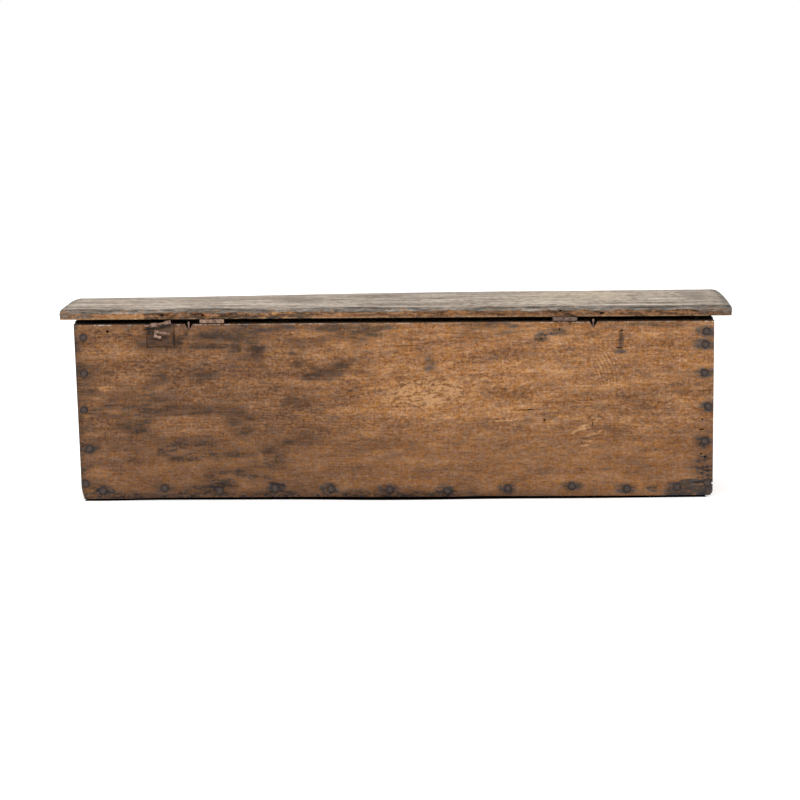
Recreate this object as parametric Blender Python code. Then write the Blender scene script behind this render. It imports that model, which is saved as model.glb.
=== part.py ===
"""Six-board chest: a nailed plank case under a hinged lid, standing with its hinged back towards -Y.

Lengths are in metres. X runs along the chest, +Y points to its front and +Z up. The origin is on the
floor under the middle of the whole chest.
"""
import math

import bmesh
import bpy
from mathutils import Matrix, Vector

# Case boards; the chest stands on its end boards, and the long boards end a little above the floor
BODY_LENGTH = 1.005
BODY_DEPTH = 0.262
BACK_HEIGHT = 0.278
FOOT_CLEARANCE = 0.0028
FACE_THICKNESS = 0.020
END_THICKNESS = 0.022
BOTTOM_THICKNESS = 0.018
BOTTOM_LIFT = 0.0045
LEFT_LEAN = 0.0075
RIGHT_LEAN = 0.0017
BOARD_ARRIS = 0.0015
TOP_CORNER_RADIUS = 0.002
FOOT_CORNER_RADIUS = 0.008
WORN_FOOT_RISE = 0.024
WORN_FOOT_RUN = 0.004
WORN_FOOT_RADIUS = 0.003

# Lid board
LID_THICKNESS = 0.016
OVERHANG_LEFT = 0.0234
OVERHANG_RIGHT = 0.0300
OVERHANG_FRONT = 0.018
LID_TOP_ROUND = 0.006
LID_LOWER_ARRIS = 0.0012
LID_CORNER_ROUND = 0.003
LID_WIND = 0.0035
LID_CROWN_LEFT = 0.002
LID_CROWN_RIGHT = 0.004
LID_FRONT_SWELL = 0.0016
LID_SECTIONS = 8
LID_BANDS = 6

# Butt hinges
HINGE_LENGTH = 0.038
HINGE_FROM_LEFT = 0.2168
HINGE_FROM_RIGHT = 0.2336
BARREL_RADIUS = 0.0031
LEAF_THICKNESS = 0.0015
LEAF_ON_WOOD = 0.0185
BARREL_STANDOFF = 0.0004
KNUCKLES = 5
KNUCKLE_GAP = 0.0003
PIN_EASE = 0.0004
ROLL_ANGLE = math.radians(285)

# Hinge screws
SCREW_SPREAD = 0.021
SCREW_FROM_LEAF_EDGE = 0.0075
SCREW_HEAD_RADIUS = 0.0027
SCREW_SHANK_RADIUS = 0.0014
SCREW_LENGTH = 0.013
SCREW_TAPER = 0.004
SCREW_TIP_RADIUS = 0.0003
SCREW_SLOT_WIDTH = 0.0007
SCREW_SLOT_DEPTH = 0.0006
SCREW_SPIN_STEP = math.radians(55)

# Nails
NAIL_SHANK = 0.0040
NAIL_TIP = 0.0014
NAIL_LENGTH = 0.045
NAIL_HEAD_RADIUS = 0.0063
NAIL_HEAD_HEIGHT = 0.0026
NAIL_HEAD_SHAPE = (1.0, 0.93, 1.02, 0.95, 0.98, 0.92, 1.03, 0.96)
NAIL_HEAD_PROFILE = ((1.0, 0.0), (0.94, 0.35), (0.55, 0.8), (0.2, 1.0))
NAIL_SPIN_STEP = math.radians(37)

# Nail rows: first and last place, and how far each hammered nail strays from an even row
EDGE_ROW_FROM_TOP = 0.0195
EDGE_ROW_FROM_FOOT = 0.0225
FOOT_ROW_FROM_LEFT = 0.0410
FOOT_ROW_FROM_RIGHT = 0.0565
LEFT_EDGE_STRAY = ((0.0025, -0.0015), (0.0012, 0.0005), (-0.0014, 0.0018), (0.0043, -0.0010),
                   (-0.0041, 0.0025))
RIGHT_EDGE_STRAY = ((0.0003, 0.0017), (-0.0027, -0.0045), (0.0033, 0.0008), (-0.0026, 0.0050),
                    (0.0025, -0.0022))
FOOT_STRAY = ((0.0, 0.0), (0.0069, 0.0036), (0.0028, -0.0013), (0.0, 0.0020), (-0.0020, 0.0007),
              (0.0, -0.0015), (0.0, -0.0037), (0.0046, -0.0003), (0.0153, 0.0025), (0.0117, -0.0024),
              (0.0, 0.0))
SECOND_NAIL_DROP = 0.019
SECOND_NAIL_INSET = 0.0124
FRONT_EDGE_STRAY = ((0.0010, 0.0), (-0.0015, 0.0030), (0.0020, -0.0010))
FRONT_FOOT_STRAY = ((0.0, 0.0010), (0.0060, -0.0020), (-0.0040, 0.0015), (0.0030, 0.0), (0.0, -0.0015))

# Remains of the older hinges
MORTISE_FROM_LEFT = 0.1139
MORTISE_WIDTH = 0.0427
MORTISE_HEIGHT = 0.0372
MORTISE_DEPTH = 0.0012
OLD_BARREL_RADIUS = 0.0029
OLD_LEAF_THICKNESS = 0.0012
OLD_PIN_LENGTH = 0.0415
OLD_PIN_FROM_LEFT = 0.1315
OLD_PIN_BELOW_TOP = 0.0005
OLD_PIN_TILT = math.radians(9)
OLD_KNUCKLE_LENGTH = 0.0097
OLD_NEAR_KNUCKLE_ALONG = -0.0062
OLD_FAR_KNUCKLE_ALONG = 0.0160
OLD_ROOT_LENGTH = 0.0038
OLD_LIP_LENGTH = 0.0030
TORN_LEAF_FROM_LEFT = 0.1262
TORN_LEAF_BELOW_TOP = 0.0095
TORN_LEAF_THICKNESS = 0.0022
TORN_LEAF_LENGTH = 0.0260
TORN_LEAF_WIDTH = 0.0045
TORN_LEAF_SHORT_ARM = 0.0125
TORN_LEAF_MOUTH = 0.0040
TORN_LEAF_RAG = 0.0010
TORN_LEAF_TILT = math.radians(9)
OLD_NAIL_FROM_LEFT = 0.1212
OLD_NAIL_BELOW_TOP = 0.0145
OLD_NAIL_HEAD_RADIUS = 0.0034
OLD_NAIL_LENGTH = 0.017
OLD_NAIL_SHANK = 0.0024
STUB_FROM_LEFT = 0.1799
STUB_FROM_RIGHT = 0.1887
STUB_WIDTH = 0.0027
STUB_TIP = 0.0012
STUB_RISE = 0.0025
STUB_DEPTH = 0.034
STUB_FROM_FACE = 0.0045
NOTCH_WIDTH = 0.0135
NOTCH_DEPTH = 0.0110
NOTCH_REACH = 0.0090

# Fits and facets
SEAT_GAP = 0.0003
CUT_PAST = 0.0010
ARC_STEPS = 5
ROLL_STEPS = 16
ROUND_SIDES = 16
SMOOTH_ANGLE = math.radians(35)
SHARP_ARRIS_ANGLE = math.radians(50)

# Places that follow from the sizes
LID_LENGTH = OVERHANG_LEFT + BODY_LENGTH + OVERHANG_RIGHT
LID_DEPTH = BODY_DEPTH + OVERHANG_FRONT
BORE_RADIUS = BARREL_RADIUS - LEAF_THICKNESS
PIN_RADIUS = BORE_RADIUS - SEAT_GAP
AXIS_OUT = BARREL_RADIUS + BARREL_STANDOFF
X_LEFT = OVERHANG_LEFT - LID_LENGTH / 2
X_RIGHT = X_LEFT + BODY_LENGTH
Y_BACK = (AXIS_OUT + BARREL_RADIUS - LID_DEPTH) / 2
Y_FRONT = Y_BACK + BODY_DEPTH
Y_BACK_INNER = Y_BACK + FACE_THICKNESS
Y_FRONT_INNER = Y_FRONT - FACE_THICKNESS
BACK_TOP = FOOT_CLEARANCE + BACK_HEIGHT
HINGE_AXIS = Vector((0, Y_BACK - AXIS_OUT, BACK_TOP + SEAT_GAP + BARREL_RADIUS))
LID_UNDERSIDE = HINGE_AXIS.z + BARREL_RADIUS + SEAT_GAP
RIM_HEIGHT = LID_UNDERSIDE - LID_WIND - SEAT_GAP
BOTTOM_UNDERSIDE = FOOT_CLEARANCE + BOTTOM_LIFT
BOTTOM_TOP = BOTTOM_UNDERSIDE + BOTTOM_THICKNESS
WORN_FOOT_TOP = FOOT_CLEARANCE + WORN_FOOT_RISE
LEAF_REACH = AXIS_OUT + LEAF_ON_WOOD
HINGE_CENTRES = {"left": X_LEFT + HINGE_FROM_LEFT, "right": X_RIGHT - HINGE_FROM_RIGHT}
STUB_PLACES = {"left": X_LEFT + STUB_FROM_LEFT, "right": X_RIGHT - STUB_FROM_RIGHT}
FACE_BACKWARD = math.radians(90)
FACE_FORWARD = math.radians(-90)
FACE_DOWN = math.radians(180)


def clear_scene():
    """Remove every object of the scene that the script starts in."""
    for leftover in list(bpy.data.objects):
        bpy.data.objects.remove(leftover, do_unlink=True)


def make_material(name, colour, roughness, metallic):
    """A plain Principled finish."""
    finish = bpy.data.materials.new(name)
    finish.use_nodes = True
    shader = finish.node_tree.nodes["Principled BSDF"]
    shader.inputs["Base Color"].default_value = (*colour, 1.0)
    shader.inputs["Roughness"].default_value = roughness
    shader.inputs["Metallic"].default_value = metallic
    return finish


def make_mesh(name, bm, finish=None, smooth=False):
    """Turn an edit mesh into a mesh, shaded smooth on round pieces."""
    mesh = bpy.data.meshes.new(name)
    bm.to_mesh(mesh)
    bm.free()
    if finish:
        mesh.materials.append(finish)
    if smooth:
        mesh.shade_smooth()
        mesh.set_sharp_from_angle(angle=SMOOTH_ANGLE)
    return mesh


def add_object(name, mesh, place=(0, 0, 0), turn=(0, 0, 0), parent=None):
    """Link a mesh as a named object; turn is about its own Z first, then Y, then X."""
    piece = bpy.data.objects.new(name, mesh)
    bpy.context.scene.collection.objects.link(piece)
    piece.parent = parent
    piece.location = Vector(place) - (parent.location if parent else Vector())
    piece.rotation_mode = "ZYX"
    piece.rotation_euler = turn
    return piece


def placed(place, turn):
    """The matrix of an object with that place and turn."""
    rotation = Matrix.Rotation(turn[0], 4, "X") @ Matrix.Rotation(turn[1], 4, "Y")
    return Matrix.Translation(place) @ rotation @ Matrix.Rotation(turn[2], 4, "Z")


def add_cutter(name, bm):
    """A hidden shape that other pieces are cut with."""
    bmesh.ops.recalc_face_normals(bm, faces=bm.faces)
    cutter = add_object(name, make_mesh(name, bm))
    cutter.hide_render = True
    cutter.display_type = "WIRE"
    return cutter


def cut(piece, *cutters):
    """Cut each cutter's shape out of the piece."""
    for cutter in cutters:
        modifier = piece.modifiers.new("cut_" + cutter.name, "BOOLEAN")
        modifier.operation = "DIFFERENCE"
        modifier.solver = "EXACT"
        modifier.object = cutter


def add_prism(bm, points, along):
    """Closed solid of a flat outline carried along a straight line."""
    face = bm.faces.new([bm.verts.new(point) for point in points])
    grown = bmesh.ops.extrude_face_region(bm, geom=[face])["geom"]
    ends = [item for item in grown if isinstance(item, bmesh.types.BMVert)]
    bmesh.ops.translate(bm, vec=along, verts=ends)
    bmesh.ops.recalc_face_normals(bm, faces=bm.faces)


def add_rings(bm, rings, matrix=Matrix()):
    """Closed solid through a stack of rings with equally many points, from its lower end up."""
    layers = [[bm.verts.new(matrix @ Vector(point)) for point in ring] for ring in rings]
    for lower, upper in zip(layers, layers[1:]):
        for index in range(len(lower)):
            following = (index + 1) % len(lower)
            bm.faces.new((lower[index], lower[following], upper[following], upper[index]))
    bm.faces.new(reversed(layers[0]))
    bm.faces.new(layers[-1])


def square_ring(width, z):
    """Eight points round a square, at its corners and the middles of its sides."""
    steps = ((1, 0), (1, 1), (0, 1), (-1, 1), (-1, 0), (-1, -1), (0, -1), (1, -1))
    return [(across * width / 2, up * width / 2, z) for across, up in steps]


def round_ring(radius, z, shape=(1.0,) * ROUND_SIDES):
    """Points round a circle, each at its own share of the radius."""
    turns = [2 * math.pi * index / len(shape) for index in range(len(shape))]
    return [(radius * part * math.cos(turn), radius * part * math.sin(turn), z)
            for turn, part in zip(turns, shape)]


def rounded_outline(corners):
    """Points round a closed outline of (x, z, radius) corners, each an arc of its own radius."""
    points = []
    for index, (x, z, radius) in enumerate(corners):
        corner = Vector((x, z))
        back = (Vector(corners[index - 1][:2]) - corner).normalized()
        onward = (Vector(corners[(index + 1) % len(corners)][:2]) - corner).normalized()
        if radius == 0:
            points.append(corner)
            continue
        half = back.angle(onward) / 2
        centre = corner + (back + onward).normalized() * radius / math.sin(half)
        first = corner + back * radius / math.tan(half) - centre
        last = corner + onward * radius / math.tan(half) - centre
        sweep = math.pi - 2 * half
        for step in range(ARC_STEPS + 1):
            share = step / ARC_STEPS
            spoke = first * math.sin((1 - share) * sweep) + last * math.sin(share * sweep)
            points.append(centre + spoke / math.sin(sweep))
    return points


def left_edge(z):
    """X of the case's left face, which leans in towards its foot."""
    return X_LEFT + LEFT_LEAN * (BACK_TOP - z) / BACK_HEIGHT


def worn_edge(z):
    """X of the left face where the foot's corner is worn back."""
    return left_edge(z) + WORN_FOOT_RUN * (WORN_FOOT_TOP - z) / WORN_FOOT_RISE


def right_edge(z):
    """X of the case's right face, which leans out towards its top."""
    return X_RIGHT + RIGHT_LEAN * (z - FOOT_CLEARANCE) / BACK_HEIGHT


def add_board(name, corners, y_near, y_far, finish):
    """A plank of a given outline in X and Z, between two Y planes, with its arrises eased."""
    bm = bmesh.new()
    outline = [Vector((point.x, y_near, point.y)) for point in rounded_outline(corners)]
    add_prism(bm, outline, Vector((0, y_far - y_near, 0)))
    board = add_object(name, make_mesh(name, bm, finish))
    arris = board.modifiers.new("arris", "BEVEL")
    arris.width = BOARD_ARRIS
    arris.segments = 2
    arris.limit_method = "ANGLE"
    arris.angle_limit = SHARP_ARRIS_ANGLE
    return board


def long_board_corners(top):
    """Outline of the front or back: its sides lean, and both feet are worn."""
    foot = FOOT_CLEARANCE
    return [(worn_edge(foot), foot, WORN_FOOT_RADIUS),
            (right_edge(foot), foot, FOOT_CORNER_RADIUS),
            (right_edge(top), top, TOP_CORNER_RADIUS),
            (left_edge(top), top, TOP_CORNER_RADIUS),
            (left_edge(WORN_FOOT_TOP), WORN_FOOT_TOP, 0)]


def make_case_boards(finish, inner_finish):
    """Back, front, two ends between them, and the bottom between all four."""
    y_near = Y_BACK_INNER + SEAT_GAP
    y_far = Y_FRONT_INNER - SEAT_GAP
    left_end = [(worn_edge(0), 0, WORN_FOOT_RADIUS),
                (left_edge(0) + END_THICKNESS, 0, 0),
                (left_edge(RIM_HEIGHT) + END_THICKNESS, RIM_HEIGHT, 0),
                (left_edge(RIM_HEIGHT), RIM_HEIGHT, 0),
                (left_edge(WORN_FOOT_TOP), WORN_FOOT_TOP, 0)]
    right_end = [(right_edge(0) - END_THICKNESS, 0, 0),
                 (right_edge(0), 0, FOOT_CORNER_RADIUS),
                 (right_edge(RIM_HEIGHT), RIM_HEIGHT, 0),
                 (right_edge(RIM_HEIGHT) - END_THICKNESS, RIM_HEIGHT, 0)]
    inset = END_THICKNESS + SEAT_GAP
    bottom = [(left_edge(BOTTOM_UNDERSIDE) + inset, BOTTOM_UNDERSIDE, 0),
              (right_edge(BOTTOM_UNDERSIDE) - inset, BOTTOM_UNDERSIDE, 0),
              (right_edge(BOTTOM_TOP) - inset, BOTTOM_TOP, 0),
              (left_edge(BOTTOM_TOP) + inset, BOTTOM_TOP, 0)]
    back = long_board_corners(BACK_TOP)
    front = long_board_corners(RIM_HEIGHT)
    boards = [("back_board", back, Y_BACK, Y_BACK_INNER, finish),
              ("front_board", front, Y_FRONT_INNER, Y_FRONT, finish),
              ("left_end_board", left_end, y_near, y_far, finish),
              ("right_end_board", right_end, y_near, y_far, finish),
              ("bottom_board", bottom, y_near, y_far, inner_finish)]
    return {board[0]: add_board(*board) for board in boards}


def make_lid(finish, pivot):
    """One plank with rounded upper edges and a crowned top, thicker at its front; its underside is flat over
    the hinges, and the whole plank is in wind from there to its front."""
    low = HINGE_AXIS + Vector((-LID_LENGTH / 2, AXIS_OUT, BARREL_RADIUS + SEAT_GAP))
    size = Vector((LID_LENGTH, LID_DEPTH, LID_THICKNESS))
    wind_start = Y_BACK + LEAF_ON_WOOD
    bm = bmesh.new()
    bmesh.ops.create_cube(bm, size=1)
    bmesh.ops.scale(bm, vec=size, verts=bm.verts)
    bmesh.ops.translate(bm, vec=low + size / 2, verts=bm.verts)
    cuts = [(Vector((0, wind_start, 0)), Vector((0, 1, 0)))]
    cuts += [(Vector((0, low.y + LID_DEPTH * band / LID_BANDS, 0)), Vector((0, 1, 0)))
             for band in range(1, LID_BANDS)]
    cuts += [(Vector((low.x + LID_LENGTH * section / LID_SECTIONS, 0, 0)), Vector((1, 0, 0)))
             for section in range(1, LID_SECTIONS)]
    for point, normal in cuts:
        everything = bm.verts[:] + bm.edges[:] + bm.faces[:]
        bmesh.ops.bisect_plane(bm, geom=everything, plane_co=point, plane_no=normal)
    weights = bm.edges.layers.float.new("bevel_weight_edge")
    for edge in bm.edges:
        if len(edge.link_faces) == 2 and edge.calc_face_angle() > SHARP_ARRIS_ANGLE:
            heights = {round(vert.co.z - LID_UNDERSIDE, 6) for vert in edge.verts}
            radius = LID_CORNER_ROUND
            if len(heights) == 1:
                radius = LID_LOWER_ARRIS if heights == {0.0} else LID_TOP_ROUND
            edge[weights] = radius / LID_TOP_ROUND
    run = Y_BACK + LID_DEPTH - wind_start
    for vert in bm.verts:
        forward = max(0.0, vert.co.y - wind_start) / run
        from_left = (vert.co.x - low.x) / LID_LENGTH
        from_middle = 2 * (vert.co.y - low.y) / LID_DEPTH - 1
        if vert.co.z > low.z + LID_THICKNESS / 2:
            crown = LID_CROWN_LEFT + (LID_CROWN_RIGHT - LID_CROWN_LEFT) * from_left
            vert.co.z += crown * (1 - from_middle**2)
            vert.co.z += LID_FRONT_SWELL * (1 + from_middle) / 2
        vert.co.z += LID_WIND * forward * vert.co.x / (LID_LENGTH / 2)
        vert.co -= HINGE_AXIS
    lid = add_object("lid_board", make_mesh("lid_board", bm, finish), HINGE_AXIS, parent=pivot)
    rounding = lid.modifiers.new("rounding", "BEVEL")
    rounding.width = LID_TOP_ROUND
    rounding.segments = 4
    rounding.limit_method = "WEIGHT"
    return lid


def nail_rings(shank, tip, length, head_radius, head_height):
    """A square tapered shank under a hammered head, which stands just off the wood."""
    head = [round_ring(head_radius * out, SEAT_GAP + head_height * up, NAIL_HEAD_SHAPE)
            for out, up in NAIL_HEAD_PROFILE]
    return [square_ring(tip, -length), square_ring(shank, SEAT_GAP)] + head


def nail_hole_rings(shank, tip, length):
    """The nail's shank with its clearance all round."""
    return [square_ring(tip + 2 * SEAT_GAP, -length - SEAT_GAP),
            square_ring(shank + 2 * SEAT_GAP, SEAT_GAP),
            square_ring(shank + 2 * SEAT_GAP, CUT_PAST)]


def even_row(first, last, count):
    """Evenly spaced places from first to last."""
    return [first + (last - first) * index / (count - 1) for index in range(count)]


def edge_row(side, strays, top):
    """(x, z) of nails down one edge of a front or back board, over the middle of the end board."""
    heights = even_row(top - EDGE_ROW_FROM_TOP, FOOT_CLEARANCE + EDGE_ROW_FROM_FOOT, len(strays))
    middle = END_THICKNESS / 2
    places = []
    for z, (across, up) in zip(heights, strays):
        x = left_edge(z) + middle if side == "left" else X_RIGHT - middle
        places.append((x + across, z + up))
    return places


def foot_row(strays):
    """(x, z) of nails along the foot of a front or back board, into the edge of the bottom board."""
    places = even_row(X_LEFT + FOOT_ROW_FROM_LEFT, X_RIGHT - FOOT_ROW_FROM_RIGHT, len(strays))
    middle = (BOTTOM_UNDERSIDE + BOTTOM_TOP) / 2
    return [(x + across, middle + up) for x, (across, up) in zip(places, strays)]


def nail_places():
    """Name, place and turn of every nail that holds the case together."""
    second = (X_RIGHT - SECOND_NAIL_INSET, BACK_TOP - EDGE_ROW_FROM_TOP - SECOND_NAIL_DROP)
    back_right = edge_row("right", RIGHT_EDGE_STRAY, BACK_TOP) + [second]
    rows = [("back_left", Y_BACK, FACE_BACKWARD, edge_row("left", LEFT_EDGE_STRAY, BACK_TOP)),
            ("back_right", Y_BACK, FACE_BACKWARD, back_right),
            ("back_foot", Y_BACK, FACE_BACKWARD, foot_row(FOOT_STRAY)),
            ("front_left", Y_FRONT, FACE_FORWARD, edge_row("left", FRONT_EDGE_STRAY, RIM_HEIGHT)),
            ("front_right", Y_FRONT, FACE_FORWARD, edge_row("right", FRONT_EDGE_STRAY, RIM_HEIGHT)),
            ("front_foot", Y_FRONT, FACE_FORWARD, foot_row(FRONT_FOOT_STRAY))]
    nails = []
    for row, y, facing, places in rows:
        for number, (x, z) in enumerate(places, 1):
            turn = (facing, 0, NAIL_SPIN_STEP * len(nails))
            nails.append((f"{row}_nail_{number}", Vector((x, y, z)), turn))
    return nails


def make_nails(finish):
    """All case nails, and one cutter with all their holes."""
    bm = bmesh.new()
    add_rings(bm, nail_rings(NAIL_SHANK, NAIL_TIP, NAIL_LENGTH, NAIL_HEAD_RADIUS, NAIL_HEAD_HEIGHT))
    mesh = make_mesh("case_nail", bm, finish)
    holes = bmesh.new()
    for name, place, turn in nail_places():
        add_object(name, mesh, place, turn)
        add_rings(holes, nail_hole_rings(NAIL_SHANK, NAIL_TIP, NAIL_LENGTH), placed(place, turn))
    return add_cutter("nail_holes", holes)


def rolled_leaf(reach, barrel_radius, thickness, length, eye_side):
    """A leaf along +Y whose end is rolled into an eye about X; the eye is above (1) or below (-1) it."""
    bore = barrel_radius - thickness
    turns = [-math.pi / 2 - ROLL_ANGLE * step / ROLL_STEPS for step in range(ROLL_STEPS + 1)]
    outer = [(barrel_radius * math.cos(turn), barrel_radius * math.sin(turn)) for turn in turns]
    inner = [(bore * math.cos(turn), bore * math.sin(turn)) for turn in reversed(turns)]
    profile = [(reach, -barrel_radius)] + outer + inner + [(reach, -bore)]
    bm = bmesh.new()
    add_prism(bm, [Vector((-length / 2, y, eye_side * z)) for y, z in profile], Vector((length, 0, 0)))
    return bm


def knuckle_relief(x_centre, kept):
    """Room for the other leaf's knuckles: cylinders round the axis over every knuckle not kept."""
    pitch = HINGE_LENGTH / KNUCKLES
    radius = AXIS_OUT / math.cos(math.pi / ROUND_SIDES)
    along_x = Matrix.Rotation(math.pi / 2, 4, "Y")
    centre = Matrix.Translation(HINGE_AXIS + Vector((x_centre, 0, 0)))
    bm = bmesh.new()
    for index in range(1 - kept, KNUCKLES, 2):
        before = CUT_PAST if index == 0 else KNUCKLE_GAP / 2
        after = CUT_PAST if index == KNUCKLES - 1 else KNUCKLE_GAP / 2
        low = index * pitch - HINGE_LENGTH / 2 - before
        high = (index + 1) * pitch - HINGE_LENGTH / 2 + after
        add_rings(bm, [round_ring(radius, low), round_ring(radius, high)], centre @ along_x)
    return bm


def screw_rings():
    """A countersunk screw, head upwards, its top at Z = 0."""
    cone = SCREW_HEAD_RADIUS - SCREW_SHANK_RADIUS
    return [round_ring(SCREW_TIP_RADIUS, -SCREW_LENGTH),
            round_ring(SCREW_SHANK_RADIUS, SCREW_TAPER - SCREW_LENGTH),
            round_ring(SCREW_SHANK_RADIUS, -cone),
            round_ring(SCREW_HEAD_RADIUS, 0)]


def screw_hole_rings():
    """The screw with its clearance all round, open above its head."""
    cone = SCREW_HEAD_RADIUS - SCREW_SHANK_RADIUS
    return [round_ring(SCREW_SHANK_RADIUS + SEAT_GAP, -SCREW_LENGTH - SEAT_GAP),
            round_ring(SCREW_SHANK_RADIUS + SEAT_GAP, -cone),
            round_ring(SCREW_HEAD_RADIUS + SEAT_GAP, 0),
            round_ring(SCREW_HEAD_RADIUS + SEAT_GAP, CUT_PAST)]


def make_screw_mesh(finish):
    """One slotted screw; the slot is cut here so that every screw can share the mesh."""
    bm = bmesh.new()
    add_rings(bm, screw_rings())
    blank = add_object("screw_blank", make_mesh("screw_blank", bm, finish, smooth=True))
    slot = bmesh.new()
    bmesh.ops.create_cube(slot, size=1)
    slot_size = (4 * SCREW_HEAD_RADIUS, SCREW_SLOT_WIDTH, 2 * SCREW_SLOT_DEPTH)
    bmesh.ops.scale(slot, vec=slot_size, verts=slot.verts)
    slot_cutter = add_cutter("screw_slot", slot)
    cut(blank, slot_cutter)
    depsgraph = bpy.context.evaluated_depsgraph_get()
    mesh = bpy.data.meshes.new_from_object(blank.evaluated_get(depsgraph))
    mesh.name = "hinge_screw"
    bpy.data.objects.remove(blank, do_unlink=True)
    bpy.data.objects.remove(slot_cutter, do_unlink=True)
    return mesh


def make_pin(name, radius, length, place, turn, finish):
    """A round pin along X with eased ends."""
    bm = bmesh.new()
    add_rings(bm, [round_ring(radius - PIN_EASE, -length / 2), round_ring(radius, PIN_EASE - length / 2),
                   round_ring(radius, length / 2 - PIN_EASE), round_ring(radius - PIN_EASE, length / 2)],
              Matrix.Rotation(math.pi / 2, 4, "Y"))
    return add_object(name, make_mesh(name, bm, finish, smooth=True), place, turn)


def make_hinges(finish, screw_finish, pivot):
    """Two butt hinges lying in the gap under the lid; returns the cutter of their screw holes."""
    screw = make_screw_mesh(screw_finish)
    holes = bmesh.new()
    leaves = []
    for side, x_centre in HINGE_CENTRES.items():
        centre = HINGE_AXIS + Vector((x_centre, 0, 0))
        leaf_kinds = (("back", 0, 0, 1, None), ("lid", FACE_DOWN, 1, -1, pivot))
        for part, facing, kept, eye_side, parent in leaf_kinds:
            bm = rolled_leaf(LEAF_REACH, BARREL_RADIUS, LEAF_THICKNESS, HINGE_LENGTH, eye_side)
            name = f"{side}_hinge_{part}_leaf"
            leaf = add_object(name, make_mesh(name, bm, finish, smooth=True), centre, parent=parent)
            cut(leaf, add_cutter(f"{name}_relief", knuckle_relief(x_centre, kept)))
            leaves.append(leaf)
            for number, along in enumerate((-SCREW_SPREAD / 2, SCREW_SPREAD / 2)):
                place = centre + Vector((along, LEAF_REACH - SCREW_FROM_LEAF_EDGE, -eye_side * BORE_RADIUS))
                turn = (facing, 0, SCREW_SPIN_STEP * (2 * kept + number))
                add_object(f"{side}_hinge_{part}_screw_{number + 1}", screw, place, turn, parent)
                add_rings(holes, screw_hole_rings(), placed(place, turn))
        make_pin(f"{side}_hinge_pin", PIN_RADIUS, HINGE_LENGTH, centre, (0, 0, 0), finish)
    screw_holes = add_cutter("screw_holes", holes)
    for leaf in leaves:
        cut(leaf, screw_holes)
    return screw_holes


def make_broken_hinge(finish, nail_finish):
    """What is left of an older hinge at the left: a bent pin, two knuckles, a torn leaf and its nail."""
    bore = OLD_BARREL_RADIUS - OLD_LEAF_THICKNESS
    seat_y = Y_BACK + MORTISE_DEPTH - SEAT_GAP
    centre = Vector((X_LEFT + OLD_PIN_FROM_LEFT, seat_y - OLD_BARREL_RADIUS, BACK_TOP - OLD_PIN_BELOW_TOP))
    turn = (0, -OLD_PIN_TILT, 0)
    make_pin("broken_hinge_pin", bore - SEAT_GAP, OLD_PIN_LENGTH, centre, turn, finish)
    hang_down = Matrix.Rotation(-math.pi / 2, 4, "X")
    for name, along, reach in (("near", OLD_NEAR_KNUCKLE_ALONG, OLD_ROOT_LENGTH),
                               ("far", OLD_FAR_KNUCKLE_ALONG, OLD_LIP_LENGTH)):
        bm = rolled_leaf(reach, OLD_BARREL_RADIUS, OLD_LEAF_THICKNESS, OLD_KNUCKLE_LENGTH, -1)
        bmesh.ops.transform(bm, matrix=hang_down, verts=bm.verts)
        place = centre + placed(Vector(), turn) @ Vector((along, 0, 0))
        knuckle = f"broken_hinge_{name}_knuckle"
        add_object(knuckle, make_mesh(knuckle, bm, finish, smooth=True), place, turn)
    mouth_low = -TORN_LEAF_WIDTH - TORN_LEAF_MOUTH
    lowest = mouth_low - TORN_LEAF_WIDTH
    torn = [(0, 0),
            (TORN_LEAF_LENGTH, -TORN_LEAF_RAG),
            (TORN_LEAF_LENGTH - TORN_LEAF_RAG, -TORN_LEAF_WIDTH),
            (TORN_LEAF_WIDTH, -TORN_LEAF_WIDTH),
            (TORN_LEAF_WIDTH, mouth_low),
            (TORN_LEAF_SHORT_ARM, mouth_low),
            (TORN_LEAF_SHORT_ARM - TORN_LEAF_RAG, lowest),
            (TORN_LEAF_RAG, lowest + TORN_LEAF_RAG)]
    bm = bmesh.new()
    add_prism(bm, [Vector((x, 0, z)) for x, z in torn], Vector((0, -TORN_LEAF_THICKNESS, 0)))
    corner = Vector((X_LEFT + TORN_LEAF_FROM_LEFT, seat_y, BACK_TOP - TORN_LEAF_BELOW_TOP))
    add_object("broken_hinge_torn_leaf", make_mesh("broken_hinge_torn_leaf", bm, finish), corner,
               (0, TORN_LEAF_TILT, 0))
    bm = bmesh.new()
    shank = (OLD_NAIL_SHANK, NAIL_TIP, OLD_NAIL_LENGTH)
    add_rings(bm, nail_rings(*shank, OLD_NAIL_HEAD_RADIUS, NAIL_HEAD_HEIGHT))
    place = Vector((X_LEFT + OLD_NAIL_FROM_LEFT, Y_BACK + MORTISE_DEPTH, BACK_TOP - OLD_NAIL_BELOW_TOP))
    turn = (FACE_BACKWARD, 0, 0)
    add_object("broken_hinge_nail", make_mesh("broken_hinge_nail", bm, nail_finish), place, turn)
    hole = bmesh.new()
    add_rings(hole, nail_hole_rings(*shank), placed(place, turn))
    return add_cutter("broken_hinge_nail_hole", hole)


def make_mortise():
    """Shallow bed of the older hinge's leaf, open at the top edge of the back."""
    bm = bmesh.new()
    x_low = X_LEFT + MORTISE_FROM_LEFT
    z_low = BACK_TOP - MORTISE_HEIGHT
    z_high = BACK_TOP + CUT_PAST
    x_high = x_low + MORTISE_WIDTH
    corners = ((x_low, z_low), (x_high, z_low), (x_high, z_high), (x_low, z_high))
    add_prism(bm, [Vector((x, Y_BACK - CUT_PAST, z)) for x, z in corners],
              Vector((0, CUT_PAST + MORTISE_DEPTH, 0)))
    return add_cutter("leaf_mortise", bm)


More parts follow.
